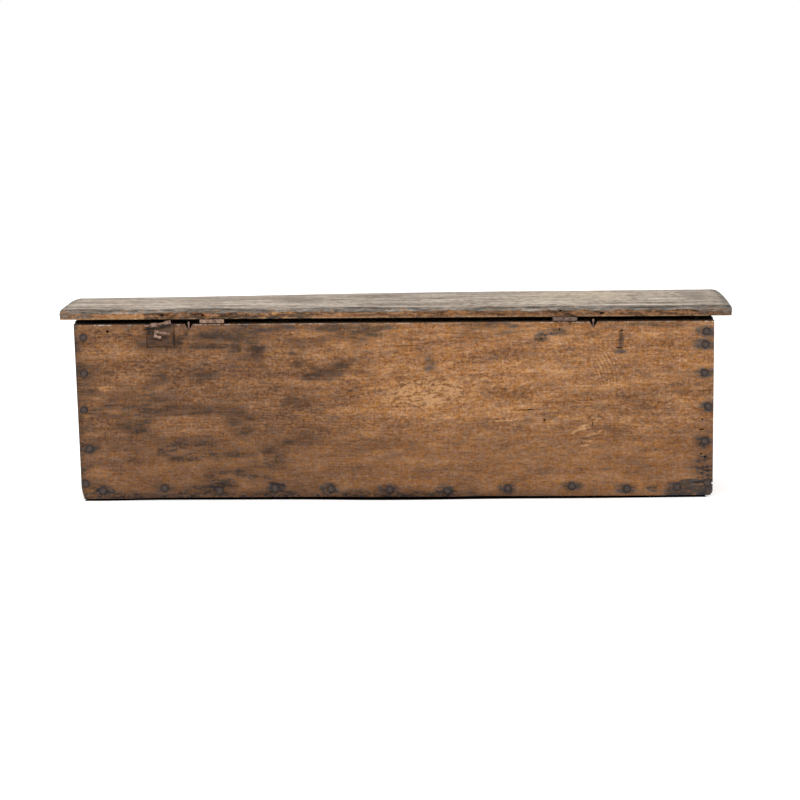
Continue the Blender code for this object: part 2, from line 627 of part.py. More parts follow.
def make_stubs(finish):
    """Broken legs of the first wire hinges, each driven into the top edge of the back in a notch."""
    bm = bmesh.new()
    add_rings(bm, [square_ring(STUB_TIP, -STUB_DEPTH),
                   square_ring(STUB_WIDTH, 0),
                   square_ring(STUB_WIDTH, STUB_RISE)])
    mesh = make_mesh("wire_hinge_stub", bm, finish)
    notches = bmesh.new()
    holes = bmesh.new()
    half = NOTCH_WIDTH / 2 * (1 + CUT_PAST / NOTCH_DEPTH)
    for side, x in STUB_PLACES.items():
        place = Vector((x, Y_BACK + STUB_FROM_FACE, BACK_TOP))
        add_object(f"{side}_wire_hinge_stub", mesh, place)
        corners = ((x - half, CUT_PAST), (x, -NOTCH_DEPTH), (x + half, CUT_PAST))
        add_prism(notches, [Vector((across, Y_BACK - CUT_PAST, BACK_TOP + up)) for across, up in corners],
                  Vector((0, CUT_PAST + NOTCH_REACH, 0)))
        add_rings(holes, nail_hole_rings(STUB_WIDTH, STUB_TIP, STUB_DEPTH), placed(place, (0, 0, 0)))
    return add_cutter("stub_notches", notches), add_cutter("stub_holes", holes)


def make_chest():
    """Build every piece, then cut the holes that the fasteners and old hinges need."""
    clear_scene()
    brown_plank = make_material("brown_plank", (0.165, 0.078, 0.034), 0.75, 0.0)
    inner_plank = make_material("inner_plank", (0.190, 0.105, 0.052), 0.85, 0.0)
    grey_plank = make_material("weathered_lid_plank", (0.130, 0.094, 0.068), 0.85, 0.0)
    iron = make_material("dark_nail_iron", (0.040, 0.037, 0.038), 0.65, 0.8)
    hinge_iron = make_material("rusted_hinge_iron", (0.215, 0.130, 0.095), 0.75, 0.5)
    pivot = add_object("lid_pivot", None, HINGE_AXIS)
    boards = make_case_boards(brown_plank, inner_plank)
    lid = make_lid(grey_plank, pivot)
    nail_holes = make_nails(iron)
    screw_holes = make_hinges(hinge_iron, iron, pivot)
    old_nail_hole = make_broken_hinge(hinge_iron, iron)
    notches, stub_holes = make_stubs(iron)
    for board in boards.values():
        cut(board, nail_holes)
    cut(boards["back_board"], screw_holes, make_mortise(), old_nail_hole, notches, stub_holes)
    cut(lid, screw_holes)


make_chest()
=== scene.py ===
"""Looks of a six-board chest: worn planks, wrought nails and rusted hinges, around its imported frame.

Lengths are in metres, and in millimetres where a name says so. X runs along the chest, its hinged back
faces -Y, and +Z is up.
"""
import math

import bmesh
import bpy
import numpy as np
from mathutils import Matrix, Vector


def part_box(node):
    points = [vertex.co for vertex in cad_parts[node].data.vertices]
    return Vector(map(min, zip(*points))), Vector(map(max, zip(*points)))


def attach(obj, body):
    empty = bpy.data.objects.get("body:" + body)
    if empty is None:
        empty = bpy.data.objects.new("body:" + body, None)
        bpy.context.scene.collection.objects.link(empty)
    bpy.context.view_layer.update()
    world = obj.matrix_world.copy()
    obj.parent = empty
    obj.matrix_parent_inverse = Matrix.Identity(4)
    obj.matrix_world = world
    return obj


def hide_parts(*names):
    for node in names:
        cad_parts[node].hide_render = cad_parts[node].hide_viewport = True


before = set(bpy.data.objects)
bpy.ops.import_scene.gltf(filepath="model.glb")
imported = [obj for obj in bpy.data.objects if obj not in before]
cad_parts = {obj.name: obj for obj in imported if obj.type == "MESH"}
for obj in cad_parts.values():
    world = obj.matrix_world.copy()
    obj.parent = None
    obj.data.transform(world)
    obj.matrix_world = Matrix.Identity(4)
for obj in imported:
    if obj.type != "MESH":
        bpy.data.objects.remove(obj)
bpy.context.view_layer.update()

# Back board
# One wide plank of old brown wood, sawn, planed by hand and nailed over the end boards and the bottom.
# Its face is orange-brown with sooty smudges and blue-black iron stains, and holds the bed of a lost hinge.

MM = 0.001
BACK = np.array(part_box("back_board"))
X_LEFT = BACK[0, 0]
X_RIGHT = BACK[1, 0]
Y_BACK = BACK[0, 1]
Z_FOOT = BACK[0, 2]
Z_TOP = BACK[1, 2]
FACE_START = np.array([X_LEFT, Z_FOOT])
LEFT_TOP = X_LEFT - 0.001
LEFT_LEAN = 0.0085
RIGHT_LEAN = 0.0017
WORN_FOOT_RISE = 0.024
WORN_FOOT_RUN = 0.004
FOOT_CORNER = 0.008
ARRIS_TURN = np.linspace(0.0, math.pi / 2, 5)


def ease(value, low, high):
    """0 below low, 1 above high, and a smooth S between them."""
    share = np.clip((value - low) / (high - low), 0.0, 1.0)
    return share * share * (3.0 - 2.0 * share)


def fade(value, low, high):
    """1 below low, 0 above high, and a smooth S between them."""
    return 1 - ease(value, low, high)


LATTICE = 64
LAYER_SHIFT = (17.3, 9.1)


def mottle(u, v, seed, layers=3):
    """Smooth noise from 0 to 1. Random heights stand on a square lattice and are eased between its four
    nearest points; each further layer has twice the lattice and half the height of the one before."""
    heights = np.random.default_rng(seed).random((LATTICE, LATTICE))
    total = 0.0
    for layer in range(layers):
        a = np.asarray(u) * 2.0**layer + LAYER_SHIFT[0] * layer
        b = np.asarray(v) * 2.0**layer + LAYER_SHIFT[1] * layer
        i = np.floor(a).astype(int)
        j = np.floor(b).astype(int)
        p = ease(a - i, 0.0, 1.0)
        q = ease(b - j, 0.0, 1.0)
        near, far = [heights[i % LATTICE, row % LATTICE] * (1 - p)
                     + heights[(i + 1) % LATTICE, row % LATTICE] * p for row in (j, j + 1)]
        total = total + (near * (1 - q) + far * q) / 2.0**layer
    return total / (2.0 - 2.0**(1 - layers))


def plank_ring(faces):
    """Once round a plank's section: outer face, edge, inner face, edge, each followed by its arris. Each face
    is a row of steps from -1 to 1, and every next face is the one before turned a quarter. The four rows
    returned are the place on the core, across and through, and the outward direction, across and through."""
    turn = ARRIS_TURN[1:-1]
    legs = []
    for quarter, steps in enumerate(faces):
        core = np.concatenate([[steps, np.ones_like(steps)], np.ones((2, turn.size))], axis=1)
        outward = np.concatenate([[np.zeros_like(steps), np.ones_like(steps)],
                                  [np.sin(turn), np.cos(turn)]], axis=1)
        for _ in range(quarter):
            core = np.stack([core[1], -core[0]])
            outward = np.stack([outward[1], -outward[0]])
        legs.append(np.concatenate([core, outward]))
    return np.concatenate(legs, axis=1)


def tube_faces(rows, columns):
    """Faces on rings of points that follow each other, with one pole before the first ring and one after the
    last: quads between neighbouring rings, and a fan of triangles round each pole. The poles come last."""
    index = np.arange(rows * columns).reshape(rows, columns)
    beside = np.roll(index, -1, axis=1)
    quads = np.stack([index[:-1], beside[:-1], beside[1:], index[1:]], axis=-1).reshape(-1, 4)
    first = np.stack([np.full(columns, index.size), beside[0], index[0]], axis=-1)
    last = np.stack([np.full(columns, index.size + 1), index[-1], beside[-1]], axis=-1)
    return [quads, np.concatenate([first, last])]


def plank_surface(half, along, faces, arris):
    """A plank as a rounded box: a point is a place on the core box plus the arris radius times its outward
    direction. The ring of the section is carried along the core, round the end arrises with the sine and
    cosine of their turn, and drawn in to one point on each end. Returns the points in half-size axes
    (along, across, through), their outward directions, and the faces as quads and end triangles."""
    turn = ARRIS_TURN[1:]
    drawn = np.array([0.7, 0.4, 0.15])
    flat = np.ones(drawn.size)
    body = np.ones(along.size)
    place = np.concatenate([-flat, -np.ones(turn.size), along, np.ones(turn.size), flat])[:, None]
    lean = np.concatenate([-flat, -np.sin(turn[::-1]), 0 * body, np.sin(turn), flat])[:, None]
    spread = np.concatenate([0 * flat, np.cos(turn[::-1]), body, np.cos(turn), 0 * flat])[:, None]
    share = np.concatenate([drawn[::-1], np.ones(turn.size), body, np.ones(turn.size), drawn])[:, None]
    across, through, out_across, out_through = plank_ring(faces)[:, None, :]
    radius = arris(place * half[0], across, through)
    grid = np.stack([place * (half[0] - radius) + lean * radius,
                     share * across * (half[1] - radius) + spread * out_across * radius,
                     share * through * (half[2] - radius) + spread * out_through * radius], axis=-1)
    outward = np.stack(np.broadcast_arrays(lean + 0 * out_across, spread * out_across,
                                           spread * out_through), axis=-1)
    ends = np.array([[-half[0], 0, 0], [half[0], 0, 0]])
    points = np.concatenate([grid.reshape(-1, 3), ends])
    outward = np.concatenate([outward.reshape(-1, 3), np.sign(ends)])
    return points, outward, tube_faces(*grid.shape[:2])


def make_piece(name, points, faces):
    """A mesh object at the origin from points and rows of faces, with points that meet merged and its faces
    turned outwards, which its volume tells."""
    corners = np.concatenate([row[:, [0, k, k + 1]] for row in faces for k in range(1, row.shape[1] - 1)])
    a, b, c = points[corners].transpose(1, 0, 2)
    volume = np.einsum("ij,ij->", a, np.cross(b, c))
    sides = [face for row in faces for face in (row if volume > 0 else row[:, ::-1]).tolist()]
    mesh = bpy.data.meshes.new(name)
    mesh.from_pydata(points.tolist(), [], sides)
    merged = bmesh.new()
    merged.from_mesh(mesh)
    bmesh.ops.remove_doubles(merged, verts=merged.verts[:], dist=1e-6)
    merged.to_mesh(mesh)
    merged.free()
    piece = bpy.data.objects.new(name, mesh)
    bpy.context.scene.collection.objects.link(piece)
    return piece


def finish_shape(piece, angle):
    """Smooth shading that breaks at edges sharper than the angle, in degrees."""
    piece.data.shade_smooth()
    piece.data.set_sharp_from_angle(angle=math.radians(angle))


def points_of(piece):
    """All points of a piece as an array of X, Y and Z."""
    flat = np.empty(len(piece.data.vertices) * 3, np.float32)
    piece.data.vertices.foreach_get("co", flat)
    return flat.reshape(-1, 3).astype(float)


def in_mm(points, axes, start):
    """Two coordinates of all points, in millimetres from a start."""
    return ((points[:, axes] - start) / MM).T


def lay_fields(piece, **fields):
    """Keep each field, one value a point or one for all, as an attribute that the finish reads by name."""
    for name, values in fields.items():
        layer = piece.data.attributes.new(name, "FLOAT", "POINT")
        held = np.broadcast_to(np.clip(values, 0.0, 1.0), len(piece.data.vertices))
        layer.data.foreach_set("value", held.astype(np.float32))


def marks_field(along, up, marks):
    """The strongest of several soft patches. A patch is an ellipse with its middle, half sizes and tilt in
    millimetres and degrees; it holds its strength inside and falls off as the cube of the distance."""
    field = np.zeros(along.shape)
    for middle, height, half_along, half_up, tilt, strength in marks:
        slope = math.radians(tilt)
        u = ((along - middle) * math.cos(slope) + (up - height) * math.sin(slope)) / half_along
        v = ((up - height) * math.cos(slope) - (along - middle) * math.sin(slope)) / half_up
        field = np.maximum(field, strength * np.exp(-np.hypot(u, v)**3))
    return field


def nail_heads_mm(prefix):
    """Middles of the heads of all nails whose names start so, along and up from the back's foot corner."""
    names = [name for name in sorted(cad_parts) if name.startswith(prefix) and "_nail_" in name]
    middles = np.array([np.mean(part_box(name), axis=0)[[0, 2]] for name in names])
    return (middles - FACE_START) / MM


def board_ends(z):
    """X of a long board's two ends at a height. Both lean in towards the foot, where the left corner is worn
    back along a parabola and the right one is rounded by an arc."""
    up = z - Z_FOOT
    fall = 1 - up / (Z_TOP - Z_FOOT)
    left = LEFT_TOP + LEFT_LEAN * fall + WORN_FOOT_RUN * np.clip(1 - up / WORN_FOOT_RISE, 0, 1)**2
    drop = np.clip(FOOT_CORNER - up, 0, FOOT_CORNER)
    right = X_RIGHT - RIGHT_LEAN * fall - FOOT_CORNER + np.sqrt(FOOT_CORNER**2 - drop**2)
    return left, right


def case_outline(points):
    """A long board as it stands: each point keeps its share of the way from one end to the other."""
    left, right = board_ends(points[:, 2])
    share = (points[:, 0] - X_LEFT) / (X_RIGHT - X_LEFT)
    return np.stack([left + share * (right - left), points[:, 1], points[:, 2]], axis=-1)


def planed_relief(along_mm, up_mm, seed):
    """Height in millimetres of a planed face that has dried for long: broad hollows, soft wood sunk between
    the harder rings, and torn fibres, as three noises stretched along the grain."""
    hollows = mottle(along_mm / 160, up_mm / 55, seed, 2) - 0.5
    rings = mottle(along_mm / 210, up_mm / 9, seed + 1, 3) - 0.5
    fibres = mottle(along_mm / 38, up_mm / 3.2, seed + 2, 2) - 0.5
    return 0.7 * hollows + 0.34 * rings + 0.2 * fibres


def dents(along_mm, up_mm, places_mm, depth=0.5, reach=9.0):
    """Shallow dishes round driven nails: a bell curve of the distance to each, in millimetres."""
    field = np.zeros(along_mm.shape)
    for x, z in places_mm:
        field = np.maximum(field, np.exp(-((along_mm - x)**2 + (up_mm - z)**2) / reach**2))
    return depth * field


def worn_arris(least, most, seed):
    """Arris radius along a plank, in metres: noise along the length, another one for each of its corners."""
    def radius(along, across, through):
        wear = 0.0
        for side in (-1, 1):
            for face in (-1, 1):
                corner = mottle(along / 0.035 + 40.0, 30.0 + 3.1 * side + 7.7 * face + 0 * along, seed, 3)
                wear = wear + corner * (1 + side * across) * (1 + face * through) / 4
        return least + (most - least) * ease(wear, 0.35, 0.8)
    return radius


def plank_points(corners, axes, sign, counts, arris):
    """A plank that fills the box between two corners. axes are the numbers of the axes along, across and
    through it, and sign is the side of the last one that its outer face is on; counts are the steps along,
    on the outer face, on an edge and on the inner face, or the steps themselves from -1 to 1."""
    half = (corners[1] - corners[0]) / 2
    steps = [np.linspace(-1, 1, count) if np.isscalar(count) else count for count in counts]
    along, outer, edge, inner = steps
    shape, outward, faces = plank_surface(half[axes], along, [outer, edge, inner, edge], arris)
    points = np.empty_like(shape)
    facing = np.empty_like(shape)
    points[:, axes] = shape * [1, 1, sign]
    facing[:, axes] = outward * [1, 1, sign]
    return points + (corners[1] + corners[0]) / 2, facing, faces


def stepped(*stretches):
    """Steps along a line, as shares from -1 to 1 of its length. Each stretch has a start and an end in
    millimetres and a count of even steps, so that places with fine detail get more of them."""
    places = np.concatenate([np.linspace(*stretch) for stretch in stretches])
    return places * 2 / stretches[-1][1] - 1


BACK_LONG = 1005
BACK_HIGH = 278
ALONG_STEPS = stepped((0, 110, 40), (111, 161, 50), (163, 786, 226), (788, 858, 58), (860, BACK_LONG, 53))
UP_STEPS = stepped((0, 8, 7), (9.6, 236, 124), (237.4, 243.6, 9), (245.4, 267, 13), (268.4, BACK_HIGH, 9))
points, facing, faces = plank_points(BACK, [0, 2, 1], -1, (ALONG_STEPS, UP_STEPS, 5, 12),
                                     worn_arris(0.0006, 0.0016, 3))
face = np.clip(-facing[:, 1], 0, 1)
along_mm, up_mm = in_mm(points, [0, 2], FACE_START)
BED_DEPTH = 1.2
BED_LEFT = 114.2
BED_RIGHT = 156.8
BED_FOOT = 240.8


def hinge_bed(along_mm, up_mm, slope=0.6):
    """1 in the chiselled bed of the lost hinge and 0 round it; its three sides wander by noise, and rise over
    twice the slope."""
    sway = 2.4 * (mottle(along_mm / 9, up_mm / 9, 31, 2) - 0.5)
    sideways = ease(along_mm + sway, BED_LEFT - slope, BED_LEFT + slope)
    sideways = sideways * fade(along_mm + sway, BED_RIGHT - slope, BED_RIGHT + slope)
    return sideways * ease(up_mm + sway, BED_FOOT - slope, BED_FOOT + slope)


def bell(value, middle, reach):
    """A bell curve: 1 at the middle, and about a third of that at the reach from it."""
    return np.exp(-((value - middle) / reach)**2)


def foot_wear(along_mm):
    """Millimetres worn off the back board's foot: a long hollow left of its middle and a small one right."""
    hollow = 1.5 * ease(along_mm, 30, 150) * fade(along_mm, 330, 500)
    return hollow + 0.6 * bell(along_mm, 670, 90)


SAW_PITCH = 5.6
SAW_SWING = (744, 168)
SAWN = [(838, 204, 34, 44, 0, 0.62)]


def saw_waves(along_mm, up_mm):
    """Arcs left by the saw: a sine of the distance to the middle of its swing, kept to where they show."""
    from_swing = np.hypot(along_mm - SAW_SWING[0], up_mm - SAW_SWING[1])
    return np.sin(from_swing * 2 * math.pi / SAW_PITCH) * marks_field(along_mm, up_mm, SAWN)


back_nails_mm = nail_heads_mm("back_")
SCRAPES = [(535, 160, 28, 3, 0, 0.45), (682, 122, 20, 3, 3, 0.6), (436, 133, 25, 4, -6, 0.35),
           (745, 144, 19, 3, 0, 0.4), (343, 262, 2.4, 2, 0, 1.0), (290, 242, 2.4, 2, 0, 0.9),
           (224, 129, 2.6, 2, 0, 0.9), (466, 3, 4, 2.5, 0, 0.9), (801, 109, 11, 5, 12, 0.75)]
bed = hinge_bed(along_mm, up_mm)
lift = planed_relief(along_mm, up_mm, 11) + 0.15 * saw_waves(along_mm, up_mm)
lift -= dents(along_mm, up_mm, back_nails_mm)
lift -= 0.4 * marks_field(along_mm, up_mm, SCRAPES)
points[:, 1] -= face * (lift * (1 - 0.6 * bed) - BED_DEPTH * bed) * MM
points[:, 2] += foot_wear(along_mm) * fade(up_mm, 0, 14) * MM
back_plank = make_piece("back_plank", case_outline(points), faces)


def ellipse(x_mm, z_mm, half_long, half_short, tilt, sides=10):
    """Outline of a hole: cosine and sine times its half sizes, turned by its tilt."""
    turn = np.arange(sides) * 2 * math.pi / sides
    slope = math.radians(tilt)
    u = half_long * np.cos(turn)
    v = half_short * np.sin(turn)
    return np.stack([x_mm + u * math.cos(slope) - v * math.sin(slope),
                     z_mm + u * math.sin(slope) + v * math.cos(slope)], axis=-1)


def elliptic_cuts(holes, taper):
    """Cuts for holes, each with the numbers of its ellipse and its depth; the taper is what is left of its
    size at that depth."""
    return [(ellipse(*hole[:5]), hole[5], taper) for hole in holes]


CUT_START = (-1.5, 1.04)


def bitten(board, cuts, origin, sideways, upward, inward):
    """Mesh of a board with openings cut into it. A cut is an outline in millimetres, sideways and upward from
    the origin on the board's face, its depth, and how much of its size is left at that depth; the outline is
    carried inwards from just outside the face."""
    points = []
    faces = []
    count = 0
    for outline, depth, left_over in cuts:
        middle = outline.mean(axis=0)
        for deep, share in (CUT_START, (depth, left_over)):
            ring = middle + (outline - middle) * share
            points.append(origin + (ring @ [sideways, upward] + deep * np.array(inward)) * MM)
        n = len(outline)
        low = count + np.arange(n)
        faces += [low.tolist(), (low[::-1] + n).tolist()]
        faces += np.stack([low, low + n, np.roll(low, -1) + n, np.roll(low, -1)], axis=-1).tolist()
        count += 2 * n
    mesh = bpy.data.meshes.new("cutter")
    mesh.from_pydata(np.concatenate(points).tolist(), [], faces)
    cutter = bpy.data.objects.new("cutter", mesh)
    bpy.context.scene.collection.objects.link(cutter)
    turned = bmesh.new()
    turned.from_mesh(mesh)
    bmesh.ops.recalc_face_normals(turned, faces=turned.faces[:])
    turned.to_mesh(mesh)
    turned.free()
    bite = board.modifiers.new("bite", "BOOLEAN")
    bite.object = cutter
    bite.solver = "EXACT"
    carved = bpy.data.meshes.new_from_object(board.evaluated_get(bpy.context.evaluated_depsgraph_get()))
    board.modifiers.clear()
    bpy.data.objects.remove(cutter)
    bpy.data.meshes.remove(mesh)
    return carved


def carve(board, cuts, *face):
    """Cut openings into a face of a board, all at once; where that leaves no mesh, one after another, without
    those that leave none by themselves."""
    carved = bitten(board, cuts, *face)
    if carved.vertices:
        board.data = carved
        return
    for cut in cuts:
        carved = bitten(board, [cut], *face)
        if carved.vertices:
            board.data = carved


NOTCHES = (180.0, 816.3)
HOLES = [(52, 266, 2.4, 2.2, 0, 16), (739, 121, 2.6, 1.7, 60, 9), (988, 121, 2.0, 1.7, 0, 8),
         (987, 105, 4.6, 1.5, 5, 6), (986, 66, 2.0, 1.5, -20, 6), (993, 62, 2.5, 1.7, 10, 8),
         (860, 262, 4.2, 1.3, 22, 7), (857, 235, 6.4, 1.4, -6, 7), (66, 193, 1.4, 1.2, 0, 4),
         (116, 227, 1.6, 1.5, 0, 4), (116, 219, 1.5, 1.2, 0, 4), (798, 41, 1.5, 1.2, 0, 5),
         (734, 250, 2.2, 1.5, 0, 4), (763, 265, 1.5, 2.2, 0, 4), (861, 228, 2.6, 1.6, 0, 2),
         (958, 205, 3.0, 0.9, -30, 2), (898, 70, 1.5, 0.8, 10, 3), (915, 73, 2.2, 0.8, 15, 3),
         (716, 138, 5.0, 1.1, 4, 5)]
SPLITS = [(706, 137.4, 23.0, 0.6, 1.5, 4), (983, 21, 12.0, 0.9, 0, 6), (525, 240.2, 34.0, 0.45, 2, 2.5),
          (1004, 19, 4.0, 1.5, -20, 10), (7, 84, 5.5, 1.0, 0, 10), (814.8, 115, 5.4, 0.8, 86, 4)]
SPLINTERS = [(789, 103.5, 8.5, 1.3, 27, 0.9), (816, 98.5, 14.5, 1.0, 19, 0.9), (807, 87.6, 7.0, 1.1, 6, 0.8),
             (804, 80.8, 9.2, 0.8, 12, 0.8), (823, 121, 6.5, 0.7, 40, 0.7), (545, 161, 11, 0.7, 3, 0.6),
             (672, 121, 12, 0.8, 3, 0.7), (700, 124, 8, 0.7, -4, 0.6)]
NOTCH = np.array([[-7.3, 279.0], [-0.4, 267.2], [0.8, 267.4], [7.3, 279.0]])
NOTCH_DEPTH = 9.0
HOLE_TAPER = 0.45
cuts = [(NOTCH + [x, 0], NOTCH_DEPTH, 1.0) for x in NOTCHES]
cuts += elliptic_cuts(HOLES, HOLE_TAPER)
ON_THE_BACK = ((X_LEFT, Y_BACK, Z_FOOT), (1, 0, 0), (0, 0, 1), (0, 1, 0))
carve(back_plank, cuts, *ON_THE_BACK)
for slits in (SPLITS, SPLINTERS):
    carve(back_plank, elliptic_cuts(slits, HOLE_TAPER), *ON_THE_BACK)
finish_shape(back_plank, 32)

SOOT = [(134, 191, 20, 15, 0, 0.6), (206, 195, 26, 10, 5, 0.65), (213, 256, 42, 8, -2, 0.95),
        (217, 240, 38, 6, -3, 0.9), (249, 236, 14, 10, 0, 0.85), (288, 237, 20, 13, 0, 0.8),
        (250, 258, 70, 14, -2, 0.75), (299, 211, 9, 15, 10, 0.6), (351, 245, 19, 8, 5, 0.6),
        (344, 228, 12, 6, 0, 0.7), (352, 212, 12, 6, 0, 0.65), (379, 193, 30, 12, 12, 0.78),
        (413, 205, 32, 14, 20, 0.78), (443, 254, 26, 16, 0, 0.6), (252, 149, 18, 13, 0, 0.52),
        (339, 153, 21, 12, 15, 0.55), (110, 141, 90, 22, 0, 0.62), (205, 140, 70, 18, -4, 0.5),
        (440, 271, 85, 8, 0, 0.95), (440, 260, 62, 8, 0, 0.7), (660, 271, 95, 6, 0, 0.75),
        (660, 262, 85, 6, 0, 0.55), (915, 272, 75, 6, 0, 0.6), (79, 84, 48, 8, 0, 0.4),
        (251, 74, 34, 14, -8, 0.55), (379, 111, 26, 6, -3, 0.58), (356, 90, 56, 9, 0, 0.6),
        (222, 20, 44, 17, 0, 0.82), (274, 38, 42, 10, -8, 0.7), (348, 17, 18, 5, 0, 0.5),
        (504, 253, 16, 14, 0, 0.4), (507, 197, 11, 20, 0, 0.3), (454, 110, 7, 7, 0, 0.35),
        (716, 4, 50, 6, 0, 0.4), (171, 69, 8, 8, 0, 0.35), (11, 259, 9, 16, 0, 0.5),
        (986, 63, 14, 24, 0, 0.55), (164, 252, 7, 18, 0, 0.9)]
# The last two strokes are painted shadow: under the broken hinge's pin and round its nail.
STROKES = [(161, 134, 20, 4, 0, 0.6), (314, 23, 20, 4, -10, 0.8), (735, 252, 14, 8, 0, 1.0),
           (761, 260, 22, 8, 0, 0.85), (500, 240, 40, 2.5, 2, 0.45), (948, 93, 22, 1.6, 5, 0.6),
           (906, 72, 14, 1.8, 8, 0.6), (860, 247, 5, 16, 0, 0.9), (725, 138, 26, 2.4, 1, 0.55),
           (803.5, 92.2, 10, 1.8, 0, 0.8), (798, 85, 1.8, 4, 0, 0.8), (810, 125.6, 3, 4.5, 0, 0.7),
           (128, 270.5, 21, 2.6, 4, 1.0), (118.5, 264, 4.5, 4, 0, 1.0)]
SHADOWS = [(119, 269.6, 11, 2.6, 10, 0.9), (142, 273.0, 13, 3.6, 12, 0.75), (118.5, 264, 5.2, 5.0, 0, 0.8),
           (137, 257.4, 14, 1.7, -9, 0.8), (130, 252.6, 9, 1.5, -9, 0.7), (156.8, 254, 2.3, 13, 0, 0.9)]
IRON = [(300, 271, 60, 7, 0, 0.62), (70, 273, 40, 8, 0, 0.3), (558, 207, 15, 14, -20, 0.55),
        (671, 199, 11, 8, 0, 0.3), (710, 162, 9, 10, 0, 0.25), (715, 124, 14, 9, 0, 0.35),
        (745, 206, 6, 6, 0, 0.3), (907, 12, 9, 5, 0, 0.7), (985, 42, 22, 24, 0, 0.5),
        (935, 12, 22, 6, 8, 0.7), (168, 252, 9, 22, 0, 0.22), (860, 231, 10, 6, 0, 0.8),
        (82, 267, 4, 4, 0, 0.6), (952, 196, 26, 6, -6, 0.35), (222, 20, 25, 8, 0, 0.4),
        (745, 257, 18, 6, 0, 0.5)]
BRIGHT = [(68, 233, 46, 40, 0, 0.6), (90, 246, 20, 7, -5, 0.6), (325, 222, 20, 22, 0, 0.6),
          (376, 227, 17, 12, 0, 0.9), (482, 240, 28, 6, 4, 0.6), (67, 100, 20, 6, -8, 0.7),
          (270, 208, 24, 10, 0, 0.5), (41, 173, 8, 4, 8, 0.7), (488, 192, 22, 40, 0, 0.3),
          (289, 66, 5, 12, 0, 0.5), (630, 172, 70, 22, 0, 0.35), (560, 160, 120, 46, 0, 0.45)]
WORN_PALE = [(560, 165, 95, 30, 0, 0.58), (488, 200, 24, 34, 0, 0.32), (660, 190, 60, 30, 0, 0.32)]
HALO_LONG = 20.0
HALO_HIGH = 10.0
HALO_STRENGTH = 0.72
FAINT_HALOS = {"back_left": (0.22, 0.22, 0.18, 0.65, 0.3), "back_foot": (0.75, 0.45, 0.25)}


def halo_marks(places_mm, strengths, seed):
    """Iron stains round nails: an ellipse along the grain on each, its size varied; nails past the end of
    the strengths have the usual one."""
    luck = np.random.default_rng(seed)
    marks = []
    for number, (x, z) in enumerate(places_mm):
        strength = strengths[number] if number < len(strengths) else HALO_STRENGTH
        marks.append((x + luck.uniform(-4, 2), z, HALO_LONG * luck.uniform(0.8, 1.25),
                      HALO_HIGH * luck.uniform(0.9, 1.15), luck.uniform(-8, 8), strength))
    return marks


def wander(along_mm, up_mm, seed):
    """Places moved about by two noises, so that patches laid on them have torn outlines."""
    sway = mottle(along_mm / 34, up_mm / 13, seed, 3) - 0.5
    heave = mottle(along_mm / 34, up_mm / 13, seed + 1, 3) - 0.5
    return along_mm + 32 * sway, up_mm + 14 * heave


def smeared(along_mm, up_mm, seed):
    """How thickly grime was wiped on, from a half to one and a half: noise drawn out along the grain."""
    return 0.45 + 1.0 * mottle(along_mm / 26, up_mm / 7, seed, 3)


points = points_of(back_plank)
along_mm, up_mm = in_mm(points, [0, 2], FACE_START)
behind_mm = (points[:, 1] - Y_BACK) / MM
left_end, right_end = board_ends(points[:, 2])
from_left_mm = (points[:, 0] - left_end) / MM
from_right_mm = (right_end - points[:, 0]) / MM
within = ease(np.minimum(from_left_mm, from_right_mm), 0.4, 1.4)
outside = 1 - ease(behind_mm, 3.0, 9.0) * within
halos = []
for side in ("back_left", "back_right", "back_foot"):
    places_mm = nail_heads_mm(side)
    order = np.argsort(places_mm[:, 0] if side == "back_foot" else -places_mm[:, 1])
    halos += halo_marks(places_mm[order], FAINT_HALOS.get(side, ()), 21)
torn_along, torn_up = wander(along_mm, up_mm, 24)
smear = smeared(along_mm, up_mm, 22)
on_the_left = fade(along_mm, 500, 800)
foot_grime = 0.25 * fade(torn_up, 4, 17) + 0.27 * fade(torn_up, 8, 34) * on_the_left
# Painted shade, with grime, darkening towards the foot, more on the left.
foot_shade_and_grime = 0.26 * fade(torn_up, 0, 24) * (0.25 + 0.75 * on_the_left)
side_grime = 0.6 * fade(from_left_mm, 2, 18) + 0.62 * fade(from_right_mm, 8, 50) * fade(up_mm, 60, 150)
haze = 0.25 + 0.75 * ease(mottle(along_mm / 90, up_mm / 40, 23, 3), 0.38, 0.62)
bright = marks_field(torn_along, torn_up, BRIGHT)
left_haze = 0.57 * fade(along_mm, 330, 470) * haze * (1 - bright)
to_right = ease(along_mm, 640, 820)
upper = ease(up_mm - 60 * to_right, 60, 165)
tone = 0.2 + ease(along_mm, 320, 540) * (0.28 + 0.1 * to_right + upper * (0.45 - 0.2 * to_right))
bed = hinge_bed(along_mm, up_mm)
# The hinge bed's outline gets a line of painted shade.
wide_bed = hinge_bed(along_mm, up_mm, 1.5)
bed_rim_shade = 4 * wide_bed * (1 - wide_bed)
wedge_top = 10 + 16 * ease(along_mm, 925, 962)
foot_wedge = ease(along_mm, 915, 945) * fade(up_mm, wedge_top - 1.5, wedge_top + 1.5)
# Painted shade, near black, inside the hinge notches and inside the holes below.
near_notch = np.max([fade(np.abs(along_mm - x), 8, 10) for x in NOTCHES], axis=0)
notch_shade = ease(behind_mm, 0.6, 1.6) * ease(up_mm, 265, 267) * near_notch
hole_shade = ease(behind_mm, 1.6, 4.5) * outside * within * fade(up_mm, 266, 270)
# Painted shade, near black, on the top edge under the lid.
lid_gap_shade = ease(up_mm, 276.2, 277.2) * (0.9 - 0.5 * ease(behind_mm, 12, 18))
top_arris = ease(up_mm, 274.2, 275.4) * fade(up_mm, 276.4, 277.2)
left_arris = fade(from_left_mm, 0, 5)
# A dark line down the left end: painted shade of its arris, with grime.
left_arris_shade_and_grime = fade(from_left_mm, 0.3, 1.5) * fade(behind_mm, 2, 4)
foot_arris = ease(up_mm, 0.1, 0.6) * fade(up_mm, 1.0, 2.2)
slivers = [(x, z, 1.25 * long, 1.6 * short, tilt, 1.0) for x, z, long, short, tilt, deep in SPLINTERS]
